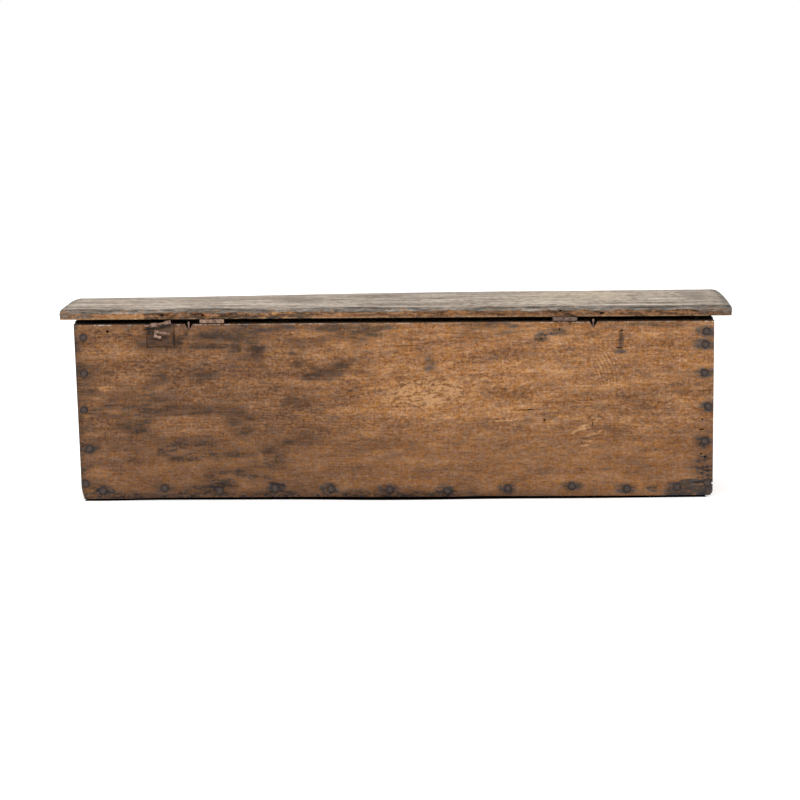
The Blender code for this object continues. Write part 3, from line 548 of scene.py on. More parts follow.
lay_fields(back_plank,
           tone=tone + 0.5 * bright,
           grit=0.66 + 0.34 * ease(up_mm, 70, 130),
           soot=np.max([smear * marks_field(torn_along, torn_up, SOOT), marks_field(along_mm, up_mm, STROKES),
                        smear * left_haze, foot_grime, smear * side_grime, 0.55 * bed, 0.35 * foot_wedge,
                        # Darker over the top 13 mm of the face, towards the lid.
                        0.3 * ease(up_mm, 265, 275), 0.4 * ease(-saw_waves(along_mm, up_mm), 0, 0.8)],
                       axis=0) * outside,
           iron=np.max([smear * marks_field(torn_along, torn_up, IRON), marks_field(along_mm, up_mm, halos),
                        0.75 * foot_grime, 0.9 * foot_wedge, 0.42 * left_haze], axis=0) * outside,
           pale=np.max([marks_field(along_mm, up_mm, SCRAPES), marks_field(along_mm, up_mm, slivers),
                        smear * marks_field(torn_along, torn_up, WORN_PALE),
                        0.8 * ease(saw_waves(along_mm, up_mm), 0, 0.8)], axis=0),
           silver=np.max([0.42 * top_arris, 0.14 * left_arris, 0.3 * foot_arris], axis=0) * outside,
           bare=ease(behind_mm, 4.0, 12.0) * within,
           # Near-black painted shade: holes, notches, the gap under the lid, the hinge bed's rim, under the
           # hinge scraps, and, with grime, the left end and the foot.
           pit=np.max([hole_shade, 0.7 * bed_rim_shade, notch_shade, lid_gap_shade, 0.6 * left_arris_shade_and_grime, foot_shade_and_grime * outside,
                       marks_field(along_mm, up_mm, SHADOWS) * outside], axis=0))


def tint(red, green, blue):
    """A paint-chart colour, 0 to 255 a channel, as the linear RGBA that shaders take."""
    chart = np.array([red, green, blue]) / 255
    linear = np.where(chart <= 0.04045, chart / 12.92, ((chart + 0.055) / 1.055)**2.4)
    return (*linear.tolist(), 1.0)


def put(tree, kind, inputs, **settings):
    """A shader node with its settings; inputs gives each socket a value or links it to another node."""
    made = tree.nodes.new(kind)
    for key, value in settings.items():
        setattr(made, key, value)
    for socket, value in inputs.items():
        if isinstance(value, bpy.types.NodeSocket):
            tree.links.new(value, made.inputs[socket])
        else:
            made.inputs[socket].default_value = value
    return made


NOISE_TURN = (0.6, 0.5, 0.7)


def noise(tree, place, scale, detail, roughness):
    """Noise from 0 to 1 on coordinates stretched by scale, then turned so that its lattice doesn't show."""
    stretched = put(tree, "ShaderNodeMapping", {"Vector": place, "Scale": scale,
                                                "Rotation": NOISE_TURN}).outputs[0]
    return put(tree, "ShaderNodeTexNoise", {"Vector": stretched, "Scale": 1.0, "Detail": detail,
                                            "Roughness": roughness}).outputs["Fac"]


def field(tree, name):
    """A field that a piece keeps as an attribute."""
    return put(tree, "ShaderNodeAttribute", {}, attribute_name=name).outputs["Fac"]


def times(tree, first, second, plus=0.0):
    """One value or socket times another, plus a third."""
    return put(tree, "ShaderNodeMath", {0: first, 1: second, 2: plus}, operation="MULTIPLY_ADD").outputs[0]


def spread_out(tree, value, low, high, to_low=0.0, to_high=1.0):
    """The stretch from low to high drawn out smoothly to another one, and held at its ends."""
    return put(tree, "ShaderNodeMapRange", {"Value": value, "From Min": low, "From Max": high,
                                            "To Min": to_low, "To Max": to_high},
               interpolation_type="SMOOTHSTEP").outputs[0]


def blend(tree, share, under, over, way="MIX"):
    """Colour over on colour under, by share, laid on as paint or, with MULTIPLY, as a stain."""
    return put(tree, "ShaderNodeMix", {0: share, 6: under, 7: over}, data_type="RGBA",
               blend_type=way).outputs[2]


def ramp(tree, value, colours):
    """Colours spread evenly over 0 to 1."""
    made = put(tree, "ShaderNodeValToRGB", {"Fac": value})
    stops = made.color_ramp.elements
    while len(stops) < len(colours):
        stops.new(0.5)
    for number, colour in enumerate(colours):
        stops[number].position = number / (len(colours) - 1)
        stops[number].color = colour
    return made.outputs["Color"]


FLECK = tint(50, 36, 28)
COOL_SMEAR = tint(90, 76, 66)
SOOT_STAIN = (0.30, 0.36, 0.48, 1.0)
IRON_STAIN = (0.25, 0.40, 0.78, 1.0)
PALE_COLOUR = tint(186, 142, 98)
# Near black, for painted shade.
PAINTED_SHADE_COLOUR = tint(10, 8, 7)
DARK_WOOD = [tint(54, 39, 31), tint(91, 63, 44), tint(114, 79, 53), tint(142, 100, 65)]
LIGHT_WOOD = [tint(92, 63, 43), tint(137, 94, 60), tint(160, 114, 74), tint(188, 142, 98)]
BARE_WOOD = [tint(100, 74, 52), tint(132, 101, 72), tint(150, 118, 86), tint(176, 144, 108)]
SILVER_WOOD = [tint(90, 80, 71), tint(150, 136, 121), tint(175, 161, 146), tint(214, 201, 185)]


def new_finish(name):
    """A new material, its node tree and its shader."""
    finish = bpy.data.materials.new(name)
    finish.use_nodes = True
    tree = finish.node_tree
    return finish, tree, tree.nodes["Principled BSDF"]


def cover(tree, shader, colour, roughness, height, strength, depth):
    """Lead a colour, a roughness and a relief, with its strength and its depth in metres, to a shader."""
    bump = put(tree, "ShaderNodeBump", {"Height": height, "Strength": strength, "Distance": depth})
    tree.links.new(colour, shader.inputs["Base Color"])
    tree.links.new(roughness, shader.inputs["Roughness"])
    tree.links.new(bump.outputs["Normal"], shader.inputs["Normal"])


def plank_finish(name, grain, shift, weathered, soot_stain=SOOT_STAIN, pale_colour=PALE_COLOUR,
                 crumbled=200.0):
    """Old brown wood. Bands, fibres, dashes, specks, cross scores and blotches are noises drawn out more or
    less along the grain, which lies on axis number grain, and shifted for each plank. Their sum picks from a
    dark and a light set of browns, mixed by the piece's tone, with as much contrast as its grit says. The
    richness of the colour varies by one more noise, and cool smears and dark flecks lie on it. Bare wood,
    silver-grey weathering, scrapes, soot and iron stains follow where the piece's fields say so, most of them
    broken up by dashes and crumbs, and so does painted shade, near black, where shade would fall. weathered
    is the scale of the silver-grey figure, and crumbled that of the crumbs along the grain."""
    finish, tree, shader = new_finish(name)

    def drawn(along, across):
        return tuple(along if axis == grain else across for axis in range(3))

    here = put(tree, "ShaderNodeTexCoord", {}).outputs["Object"]
    here = put(tree, "ShaderNodeMapping", {"Vector": here, "Location": shift}).outputs[0]
    sway = noise(tree, here, drawn(2.5, 9.0), 2.0, 0.5)
    bent = put(tree, "ShaderNodeVectorMath", {0: sway, 1: drawn(0.0, 0.03), 2: here},
               operation="MULTIPLY_ADD").outputs[0]
    bands = noise(tree, bent, drawn(4.5, 48.0), 4.0, 0.6)
    fibres = noise(tree, bent, drawn(9.0, 420.0), 2.0, 0.5)
    dashes = noise(tree, bent, drawn(55.0, 250.0), 3.0, 0.62)
    specks = noise(tree, bent, drawn(200.0, 330.0), 3.0, 0.68)
    scores = noise(tree, here, drawn(420.0, 70.0), 2.0, 0.5)
    blotch = noise(tree, bent, drawn(14.0, 46.0), 5.0, 0.62)
    flecks = spread_out(tree, noise(tree, bent, drawn(70.0, 700.0), 2.0, 0.5), 0.6, 0.72)
    figure = times(tree, bands, 0.16)
    for part, weight in ((fibres, 0.11), (dashes, 0.17), (specks, 0.35), (scores, 0.10), (blotch, 0.19)):
        figure = times(tree, part, weight, figure)
    figure = spread_out(tree, figure, 0.41, 0.67, -0.5, 0.5)
    figure = times(tree, figure, field(tree, "grit"), 0.5)
    crumbs = noise(tree, bent, drawn(crumbled, 330.0), 3.0, 0.68)
    torn = times(tree, dashes, 0.45, times(tree, crumbs, 0.55))
    torn = spread_out(tree, torn, 0.38, 0.62, 0.35, 1.35)

    def patchy(mark, low, high, strength):
        return spread_out(tree, times(tree, field(tree, mark), torn), low, high, 0.0, strength)

    tone = times(tree, field(tree, "tone"), 1.0, times(tree, blotch, 0.6, -0.3))
    colour = blend(tree, put(tree, "ShaderNodeClamp", {"Value": tone}).outputs[0],
                   ramp(tree, figure, DARK_WOOD), ramp(tree, figure, LIGHT_WOOD))
    resin = noise(tree, here, drawn(110.0, 170.0), 3.0, 0.6)
    richness = spread_out(tree, resin, 0.34, 0.66, 0.91, 1.09)
    colour = put(tree, "ShaderNodeHueSaturation", {"Saturation": richness, "Color": colour}).outputs[0]
    smears = noise(tree, here, drawn(30.0, 95.0), 3.0, 0.6)
    colour = blend(tree, spread_out(tree, smears, 0.52, 0.72, 0.0, 0.4), colour, COOL_SMEAR)
    colour = blend(tree, field(tree, "bare"), colour, ramp(tree, figure, BARE_WOOD))
    colour = blend(tree, times(tree, flecks, 0.5), colour, FLECK)
    silver = times(tree, noise(tree, here, weathered, 4.0, 0.66), 0.5, times(tree, crumbs, 0.5))
    silver = ramp(tree, spread_out(tree, silver, 0.385, 0.615), SILVER_WOOD)
    colour = blend(tree, patchy("silver", 0.2, 0.6, 1.0), colour, silver)
    colour = blend(tree, patchy("pale", 0.2, 0.7, 0.8), colour, pale_colour)
    colour = blend(tree, patchy("soot", 0.2, 0.74, 1.0), colour, soot_stain, "MULTIPLY")
    colour = blend(tree, patchy("iron", 0.12, 0.65, 1.0), colour, IRON_STAIN, "MULTIPLY")
    # Painted shade, near black, laid on last.
    colour = blend(tree, field(tree, "pit"), colour, PAINTED_SHADE_COLOUR)
    height = times(tree, flecks, -0.5, times(tree, dashes, 0.8, specks))
    cover(tree, shader, colour, spread_out(tree, figure, 0.0, 1.0, 0.85, 0.7), height, 0.4, 0.0007)
    shader.inputs["Specular IOR Level"].default_value = 0.2
    return finish


ALONG_THE_BOARD = (20.0, 200.0, 200.0)
UP_THE_BOARD = (200.0, 200.0, 20.0)
back_plank.data.materials.append(plank_finish("worn_brown_plank", 0, (0.0, 0.0, 0.0), ALONG_THE_BOARD))
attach(back_plank, "case")
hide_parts("back_board")

# End boards
# Two shorter planks with upright grain, nailed between the back and the front. Both lean in towards the
# foot with the case, and the left one's foot is worn back like that of the long boards.

END_THICKNESS = 0.022
END_HIGH = 281
END_WIDE = 221


def chance_marks(seed, count, long_mm, high_mm, sizes, strength):
    """Soft patches strewn over a face by chance: their middles, half sizes along and across the grain, a
    small tilt and a strength, each drawn evenly between bounds."""
    luck = np.random.default_rng(seed)
    return [(luck.uniform(0, long_mm), luck.uniform(0, high_mm), luck.uniform(0.3, 1.0) * sizes[0],
             luck.uniform(0.3, 1.0) * sizes[1], luck.uniform(-6, 6), luck.uniform(0.4, 1.0) * strength)
            for _ in range(count)]


for side, sign in (("left", -1), ("right", 1)):
    node = f"{side}_end_board"
    corners = np.array(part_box(node))
    corners[:, 0] = [LEFT_TOP, LEFT_TOP + END_THICKNESS] if sign < 0 else [X_RIGHT - END_THICKNESS, X_RIGHT]
    points, facing, faces = plank_points(corners, [2, 1, 0], sign, (96, 76, 5, 30),
                                         worn_arris(0.001, 0.0022, 5))
    up_mm, over_mm = in_mm(points, [2, 1], [0.0, corners[0, 1]])
    lift = planed_relief(up_mm, over_mm, 40 + sign)
    points += facing * (lift * np.abs(facing[:, 0]) * MM)[:, None]
    outer_face = board_ends(points[:, 2])[0 if sign < 0 else 1]
    leaning = (LEFT_LEAN if sign < 0 else -RIGHT_LEAN) * (Z_TOP - points[:, 2]) / (Z_TOP - Z_FOOT)
    straight = (LEFT_TOP if sign < 0 else X_RIGHT) + leaning
    points[:, 0] += leaning + (outer_face - straight) * (facing[:, 0] * sign > 0)
    end_plank = make_piece(f"{side}_end_plank", points, faces)
    finish_shape(end_plank, 40)
    points = points_of(end_plank)
    up_mm, over_mm = in_mm(points, [2, 1], [0.0, corners[0, 1]])
    outer_face = board_ends(points[:, 2])[0 if sign < 0 else 1]
    inside = ease(np.abs(points[:, 0] - outer_face) / MM, 6.0, 14.0)
    torn_up, torn_over = wander(up_mm, over_mm, 64 + sign)
    smudges = chance_marks(60 + sign, 10, END_HIGH, END_WIDE, (110, 24), 0.75)
    stains = chance_marks(70 + sign, 5, END_HIGH, END_WIDE, (22, 8), 0.6)
    scrapes = chance_marks(80 + sign, 9, END_HIGH, END_WIDE, (18, 3), 0.8)
    smear = smeared(up_mm, over_mm, 67 + sign)
    top_edge = ease(up_mm, 279, 283.5)
    lay_fields(end_plank,
               tone=0.25 + 0.4 * mottle(up_mm / 150, over_mm / 60, 50 + sign, 2),
               grit=0.75,
               # Painted shade, near black, on the top of the end near the back, under the lid.
               pit=ease(up_mm, 273, 279) * fade(over_mm, 10, 40),
               soot=np.max([smear * marks_field(torn_up, torn_over, smudges) * (1 - inside),
                            0.8 * fade(up_mm, 3, 30) * (1 - inside), 0.5 * top_edge], axis=0),
               iron=marks_field(up_mm, over_mm, stains) * (1 - inside),
               pale=marks_field(up_mm, over_mm, scrapes),
               silver=0.25 * top_edge,
               bare=inside)
    end_wood = plank_finish(f"{side}_end_wood", 2, (0.31 * sign, 0.2, 0.7), UP_THE_BOARD)
    end_plank.data.materials.append(end_wood)
    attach(end_plank, "case")
    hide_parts(node)

# Front board
# The plank at the other side of the case, of the same wood and nailed in the same way. It is a little higher
# than the back, because no hinge lies between it and the lid.

FRONT = np.array(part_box("front_board"))
FRONT_HIGH = 281
points, facing, faces = plank_points(FRONT, [0, 2, 1], 1, (340, 96, 5, 22), worn_arris(0.0010, 0.0028, 8))
face = np.clip(facing[:, 1], 0, 1)
along_mm, up_mm = in_mm(points, [0, 2], FACE_START)
front_nails_mm = nail_heads_mm("front_")
lift = planed_relief(along_mm, up_mm, 81) - dents(along_mm, up_mm, front_nails_mm)
points[:, 1] += face * lift * MM
front_plank = make_piece("front_plank", case_outline(points), faces)
finish_shape(front_plank, 40)
points = points_of(front_plank)
along_mm, up_mm = in_mm(points, [0, 2], FACE_START)
left_end, right_end = board_ends(points[:, 2])
within = ease(np.minimum(points[:, 0] - left_end, right_end - points[:, 0]) / MM, 0.4, 1.4)
outside = 1 - ease((FRONT[1, 1] - points[:, 1]) / MM, 3.0, 9.0) * within
torn_along, torn_up = wander(along_mm, up_mm, 94)
smear = smeared(along_mm, up_mm, 95)
smudges = chance_marks(91, 24, BACK_LONG, FRONT_HIGH, (130, 22), 0.78)
scrapes = chance_marks(93, 26, BACK_LONG, FRONT_HIGH, (22, 3.5), 0.8)
top_edge = ease(up_mm, 277, 280.6)
foot_grime = 0.8 * fade(torn_up, 4, 22)
haze = 0.4 * ease(mottle(along_mm / 90, up_mm / 40, 96, 3), 0.4, 0.65)
lay_fields(front_plank,
           tone=0.2 + 0.6 * mottle(along_mm / 260, up_mm / 120, 90, 2),
           grit=0.7 + 0.2 * ease(up_mm, 60, 140),
           soot=np.max([smear * marks_field(torn_along, torn_up, smudges), smear * haze, foot_grime,
                        0.45 * top_edge], axis=0) * outside,
           iron=marks_field(along_mm, up_mm, halo_marks(front_nails_mm, (), 92)) * outside,
           pale=marks_field(along_mm, up_mm, scrapes) * outside,
           silver=0.3 * top_edge * outside,
           bare=1 - outside)
front_plank.data.materials.append(plank_finish("front_wood", 0, (0.4, 0.9, 0.35), ALONG_THE_BOARD))
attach(front_plank, "case")
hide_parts("front_board")

# Bottom board
# A rough sawn plank between the four sides, held by the nails along their feet. Only its upper face is ever
# seen, paler than the outside and grey with dust towards the corners.

BOTTOM = np.array(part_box("bottom_board"))
BOTTOM_WIDE = 221
BOTTOM_LEFT = 30
BOTTOM_RIGHT = 982
points, facing, faces = plank_points(BOTTOM, [0, 1, 2], 1, (240, 62, 3, 20), worn_arris(0.0006, 0.0012, 9))
along_mm, over_mm = in_mm(points, [0, 1], [X_LEFT, BOTTOM[0, 1]])
points[:, 2] += np.clip(facing[:, 2], 0, 1) * planed_relief(along_mm, over_mm, 100) * MM
bottom_plank = make_piece("bottom_plank", points, faces)
finish_shape(bottom_plank, 40)
points = points_of(bottom_plank)
along_mm, over_mm = in_mm(points, [0, 1], [X_LEFT, BOTTOM[0, 1]])
rim_mm = np.min([over_mm, BOTTOM_WIDE - over_mm, along_mm - BOTTOM_LEFT, BOTTOM_RIGHT - along_mm], axis=0)
smudges = chance_marks(101, 30, BACK_LONG, BOTTOM_WIDE, (60, 14), 0.6)
scrapes = chance_marks(102, 20, BACK_LONG, BOTTOM_WIDE, (30, 4), 0.6)
lay_fields(bottom_plank,
           tone=0.3,
           grit=0.8,
           soot=np.maximum(marks_field(along_mm, over_mm, smudges), 0.55 * fade(rim_mm, 2, 22)),
           pale=marks_field(along_mm, over_mm, scrapes),
           bare=0.85)
bottom_plank.data.materials.append(plank_finish("bottom_wood", 0, (0.1, 0.5, 0.8), ALONG_THE_BOARD))
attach(bottom_plank, "case")
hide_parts("bottom_board")

# Case nails
# Wrought iron nails with square shanks and round heads, drawn out and finished by a few hammer blows. They
# hold the long boards to the ends and the bottom, and have gone blue-black with rust on their crowns.

NAIL_REACH = 0.0063
NAIL_RISE = 0.0026
NAIL_SEAT = 0.0002
NAIL_LENGTH = 0.044
NAIL_SIDES = 24
HAMMER_BLOWS = 5
HEAD_STEPS = np.array([[0.12, 1.0], [0.3, 1.0], [0.5, 1.0], [0.68, 1.0], [0.84, 1.0], [0.95, 0.75],
                       [1.0, 0.35], [0.98, 0.0], [0.6, -0.15], [0.33, -0.15]])
SHANK_STEPS = np.array([[0.32, 0.0], [0.30, 0.2], [0.12, 0.97]])


def nail_surface(middle, outward, reach, rise, length, seed):
    """A nail turned about its axis: rings of a given share of the head's reach. The crown's height is a dome,
    one less the square of that share, cut down by flat facets, each a plane from one hammer blow, and the
    rim wanders by noise. A tapered shank follows under the head, drawn to a point."""
    luck = np.random.default_rng(seed)
    turn = np.arange(NAIL_SIDES)[None, :] * 2 * math.pi / NAIL_SIDES
    share, lowered = HEAD_STEPS[:, :1], HEAD_STEPS[:, 1:]
    crown = 1.0 - 0.62 * share**2
    for blow in luck.uniform(0, 2 * math.pi, HAMMER_BLOWS):
        crown = np.minimum(crown, 0.97 - luck.uniform(0.3, 0.55) * share * np.cos(turn - blow))
    rim = 1 + 0.16 * (mottle(np.cos(turn) * 1.3 + 20, np.sin(turn) * 1.3 + 20 + seed % 9, seed, 2) - 0.5)
    across = np.concatenate([reach * share * rim, reach * SHANK_STEPS[:, :1] + 0 * turn])
    height = np.concatenate([rise * (lowered * crown), -rise * 0.3 - length * SHANK_STEPS[:, 1:] + 0 * turn])
    ring = np.stack([across * np.cos(turn), height, across * np.sin(turn)], axis=-1)
    poles = np.array([[0, height[0].mean(), 0], [0, -length, 0]])
    points = np.concatenate([ring.reshape(-1, 3), poles])
    points[:, 1] = (points[:, 1] + NAIL_SEAT) * outward
    # shine: wear and a painted highlight on the crown, strongest at its middle.
    shine = np.repeat(fade(share[:, 0], 0.3, 0.85), NAIL_SIDES)
    shine = np.concatenate([shine, np.zeros(SHANK_STEPS.shape[0] * NAIL_SIDES), [1.0, 0.0]])
    return points + middle, tube_faces(*ring.shape[:2]), shine


IRON_TONES = [tint(29, 25, 25), tint(45, 39, 37), tint(63, 53, 48)]
CROWN_TONE = tint(84, 69, 62)
NAIL_RUST = tint(80, 62, 53)


def iron_finish(name):
    """Wrought iron: grey-black scale mottled by noise, rust in spots, and a crown rubbed bright, with a
    painted highlight.
    """
    finish, tree, shader = new_finish(name)
    here = put(tree, "ShaderNodeTexCoord", {}).outputs["Object"]
    scale = noise(tree, here, (420, 420, 420), 5.0, 0.65)
    spots = spread_out(tree, noise(tree, here, (260, 260, 260), 3.0, 0.6), 0.52, 0.66)
    colour = ramp(tree, spread_out(tree, scale, 0.3, 0.7), IRON_TONES)
    worn_and_highlit = times(tree, field(tree, "shine"), spread_out(tree, scale, 0.2, 0.7))
    colour = blend(tree, worn_and_highlit, colour, CROWN_TONE)
    colour = blend(tree, times(tree, spots, 0.55), colour, NAIL_RUST)
    cover(tree, shader, colour, spread_out(tree, scale, 0.3, 0.7, 0.5, 0.8), scale, 0.5, 0.0006)
    shader.inputs["Metallic"].default_value = 0.15
    shader.inputs["Specular IOR Level"].default_value = 0.3
    return finish


nail_finish = iron_finish("hammered_nail_iron")
case_nails = [name for name in sorted(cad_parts) if "_nail_" in name]
for number, node in enumerate(case_nails):
    low, high = np.array(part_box(node))
    outward = -1 if node.startswith("back") else 1
    y_face = Y_BACK if outward < 0 else FRONT[1, 1]
    middle = np.array([(low[0] + high[0]) / 2, y_face, (low[2] + high[2]) / 2])
    points, faces, shine = nail_surface(middle, outward, NAIL_REACH, NAIL_RISE, NAIL_LENGTH, 200 + number)
    nail = make_piece(f"wrought_{node}", points, faces)
    lay_fields(nail, shine=shine[:len(nail.data.vertices)])
    finish_shape(nail, 60)
    nail.data.materials.append(nail_finish)
    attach(nail, "case")
    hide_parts(node)

# Remains of older hinges
# Scraps of a broken butt hinge at the left, still nailed in its bed, and two stubs of wire hinges in the top
# edge of the back. All are of thin iron, rusted to a pinkish brown.

SCRAP_RUST = [tint(58, 42, 35), tint(104, 79, 66), tint(136, 107, 91), tint(168, 139, 121)]


def rust_finish(name, tones):
    """Rusted sheet iron: brown to pinkish grey by a coarse and a fine noise, pitted all over."""
    finish, tree, shader = new_finish(name)
    here = put(tree, "ShaderNodeTexCoord", {}).outputs["Object"]
    patches = noise(tree, here, (170, 170, 170), 4.0, 0.6)
    grains = noise(tree, here, (1100, 1100, 1100), 3.0, 0.6)
    mixed = times(tree, patches, 0.65, times(tree, grains, 0.35))
    colour = ramp(tree, spread_out(tree, mixed, 0.3, 0.68), tones)
    cover(tree, shader, colour, spread_out(tree, grains, 0.3, 0.7, 0.6, 0.85), mixed, 0.5, 0.0005)
    shader.inputs["Metallic"].default_value = 0.2
    return finish


def coat(node, finish):
    """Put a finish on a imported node, in place of its plain one."""
    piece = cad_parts[node]
    piece.data.materials.clear()
    piece.data.materials.append(finish)


scrap_rust = rust_finish("rusted_scrap_iron", SCRAP_RUST)
for node in sorted(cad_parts):
    if node.startswith("broken_hinge") or node.endswith("wire_hinge_stub"):
        coat(node, nail_finish if node.endswith("nail") else scrap_rust)

# Butt hinges
# Two plain butt hinges of rolled sheet iron, screwed to the top edge of the back and under the lid, with
# their barrels standing out behind. They are the ones in use, rusted all over.

PINK_RUST = [tint(58, 41, 34), tint(112, 84, 69), tint(146, 117, 98), tint(174, 147, 127)]
DARK_RUST = [tint(38, 28, 25), tint(82, 62, 53), tint(108, 86, 74), tint(136, 112, 98)]
for side, tones in (("left", PINK_RUST), ("right", DARK_RUST)):
    hinge_rust = rust_finish(f"{side}_hinge_rust", tones)
    for node in sorted(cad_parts):
        if node.startswith(f"{side}_hinge"):
            coat(node, nail_finish if "screw" in node else hinge_rust)

# Lid board
# One wide plank in slight wind, rounded along its upper edges. Its top has weathered silver-grey down to the
# arris, while the edge below it stayed orange-brown; its underside is bare.

LID = np.array(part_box("lid_board"))
LID_THICKNESS = 0.016
LID_WIND = 0.0035
LID_ROUND = 0.0062
LID_LOWER_ARRIS = 0.0012
LID_CROWN_LEFT = 0.003
LID_CROWN_RIGHT = 0.0065
LID_FRONT_SWELL = 0.0016
LID_BOW = 0.0012
LID_CORNER = 0.006
LID_SETTLED = 0.00015
CHIP_DEPTH = 0.0014
WIND_START = Y_BACK + 0.0185
LID_UNDER = LID[0, 2] + LID_WIND


def lid_wind(x, y):
    """Height that the lid's twist adds: none over the hinges, and to its front as far up on the right as it
    is down on the left. The front edge is bowed up a little right of its middle, and down on its left."""
    forward = np.clip((y - WIND_START) / (LID[1, 1] - WIND_START), 0, 1)
    bow = LID_BOW * (bell(x, 0.1, 0.25) - ease(-x, 0.12, 0.34))
    return forward * (LID_WIND * x / LID[1, 0] + bow * forward)


def lid_crown(x, y):
    """Height of the crown that cupping has given the top: a parabola across the lid, more on the right, and
    an even swell towards the front, where the plank is thicker."""
    share = (x - LID[0, 0]) / (LID[1, 0] - LID[0, 0])
    from_middle = 2 * (y - LID[0, 1]) / (LID[1, 1] - LID[0, 1]) - 1
    cup = (LID_CROWN_LEFT + share * (LID_CROWN_RIGHT - LID_CROWN_LEFT)) * (1 - from_middle**2)
    return cup + LID_FRONT_SWELL * (1 + from_middle) / 2


def round_corners(points):
    """Draw the lid's four corners in to arcs: within a corner square, X and Y move along the ray from the
    square's inner corner until a point that was on the square's outline lies on the arc."""
    inner = np.array([LID[1, 0] - LID_CORNER, (LID[1, 1] - LID[0, 1]) / 2 - LID_CORNER])
    middle = np.array([0.0, (LID[0, 1] + LID[1, 1]) / 2])
    away = points[:, :2] - middle
    past = np.clip(np.abs(away) - inner, 0, None)
    longest = past.max(axis=1)
    ray = np.hypot(past[:, 0], past[:, 1])
    pull = np.where(ray > 0, longest / np.maximum(ray, 1e-9), 1.0)[:, None]
    points[:, :2] = middle + np.sign(away) * (np.minimum(np.abs(away), inner) + past * pull)


def lid_arris(along, across, through):
    """Arris radius of the lid: wide above and small below, with some wear along its length."""
    upper = (1 + through) / 2
    wear = mottle(along / 0.05 + 30, 3.0 * across + 20 + 0 * along, 12, 3)
    return LID_LOWER_ARRIS + upper * (LID_ROUND - LID_LOWER_ARRIS) * (0.8 + 0.4 * wear)


corners = np.array([[LID[0, 0], LID[0, 1], LID_UNDER], [LID[1, 0], LID[1, 1], LID_UNDER + LID_THICKNESS]])
points, facing, faces = plank_points(corners, [0, 1, 2], 1, (440, 110, 9, 40), lid_arris)
along_mm, over_mm = in_mm(points, [0, 1], [X_LEFT, Y_BACK])
ridges = mottle(along_mm / 240, over_mm / 5.5, 121, 3) - 0.5
lift = planed_relief(along_mm, over_mm, 120) * 0.7 + 0.7 * ridges
height_share = np.clip((points[:, 2] - LID_UNDER) / LID_THICKNESS, 0, 1)
points[:, 2] += np.clip(facing[:, 2], 0, 1) * lift * MM - LID_SETTLED
points[:, 2] += height_share * lid_crown(points[:, 0], points[:, 1])
chips = mottle(along_mm / 14, points[:, 2] / MM / 4, 122, 3)
points[:, 1] += np.clip(-facing[:, 1], 0, 1) * CHIP_DEPTH * ease(chips, 0.5, 0.8)
round_corners(points)
points[:, 2] += lid_wind(points[:, 0], points[:, 1])
lid_plank = make_piece("lid_plank", points, faces)
EDGE_HOLES = [(138, 290.6, 3.8, 1.9, 0, 7), (202, 290.4, 3.4, 2.2, 0, 8), (764.5, 294.0, 2.8, 2.0, -20, 6),
              (829.5, 290.0, 5.2, 2.3, 5, 4)]
EDGE_SPLITS = [(192, 292.0, 8.5, 0.5, -4, 4), (228, 288.6, 22.0, 0.45, -3, 3), (538, 284.6, 4.0, 1.4, 0, 4)]
EDGE_TAPER = 0.5
for openings in (EDGE_HOLES, EDGE_SPLITS):
    carve(lid_plank, elliptic_cuts(openings, EDGE_TAPER), *ON_THE_BACK)
finish_shape(lid_plank, 40)

LID_LONG = 1056
LID_WIDE = 280
BLEACHED = [(775, 150, 105, 140, 0, 0.85), (836, 150, 66, 140, 0, 0.95)]
DULLED = [(985, 140, 34, 140, 0, 0.42), (200, 140, 60, 140, 0, 0.34), (350, 140, 60, 140, 0, 0.48),
          (490, 140, 100, 140, 0, 0.4)]
points = points_of(lid_plank)
along_mm, over_mm = in_mm(points, [0, 1], [X_LEFT, Y_BACK])
level_mm = (points[:, 2] - lid_wind(points[:, 0], points[:, 1]) - LID_UNDER) / MM
ragged_mm = 9.6 + 3.2 * (mottle(along_mm / 24, 5 + 0 * along_mm, 123, 3) - 0.5)
end_mm = np.minimum(points[:, 0] - LID[0, 0], LID[1, 0] - points[:, 0]) / MM
under = fade(level_mm, 0.4, 2.0)
at_ends = fade(end_mm, 45, 64) * (1 - under)
over_edge = ease(level_mm, ragged_mm - 0.8, ragged_mm + 0.8)
weather = np.maximum(over_edge, 0.42 * at_ends)
# Painted shade, near black, inside the holes and splits cut into the lid's back edge.
deep = ease(over_mm, 1.8, 3.6) * fade(over_mm, 7, 9)
deep = deep * ease(level_mm, 1.5, 2.5) * fade(level_mm, 11.5, 13) * ease(end_mm, 8, 9)
edge_mm = np.min([over_mm, LID_WIDE - over_mm, end_mm], axis=0)
grey_band = weather * fade(edge_mm, 4.5, 9.5)
left_part = ease(along_mm, 95, 125)
past_left = ease(along_mm, 330, 420)
handled = 0.25 + 0.8 * left_part - 0.45 * past_left + 0.2 * ease(along_mm, 600, 680)
handled = handled - 0.2 * bell(along_mm, 690, 80)
grey_dirt = 0.68 - 0.15 * bell(along_mm, 670, 100) + 0.15 * bell(along_mm, 905, 80)
rim = fade(edge_mm, 2.5, 9)
edge_dirt = rim * handled * (0.35 + 0.65 * ease(mottle(along_mm / 24, level_mm / 4, 126, 3), 0.4, 0.66))
bleached = marks_field(along_mm, over_mm, BLEACHED)
top_dirt = np.maximum(0.8 * marks_field(along_mm, over_mm,
                                        chance_marks(125, 60, LID_LONG, LID_WIDE, (90, 13), 0.75)),
                      marks_field(along_mm, over_mm, DULLED))
scrapes = chance_marks(127, 40, LID_LONG, LID_WIDE, (80, 9), 0.6)
end_dirt = (0.46 + 0.22 * ease(along_mm, 100, 900)) * at_ends
end_dirt = end_dirt * fade(np.minimum(end_mm, over_mm), 5, 28)
edge_tone = 0.5 * (mottle(along_mm / 30, level_mm / 6, 124, 3) - 0.5)
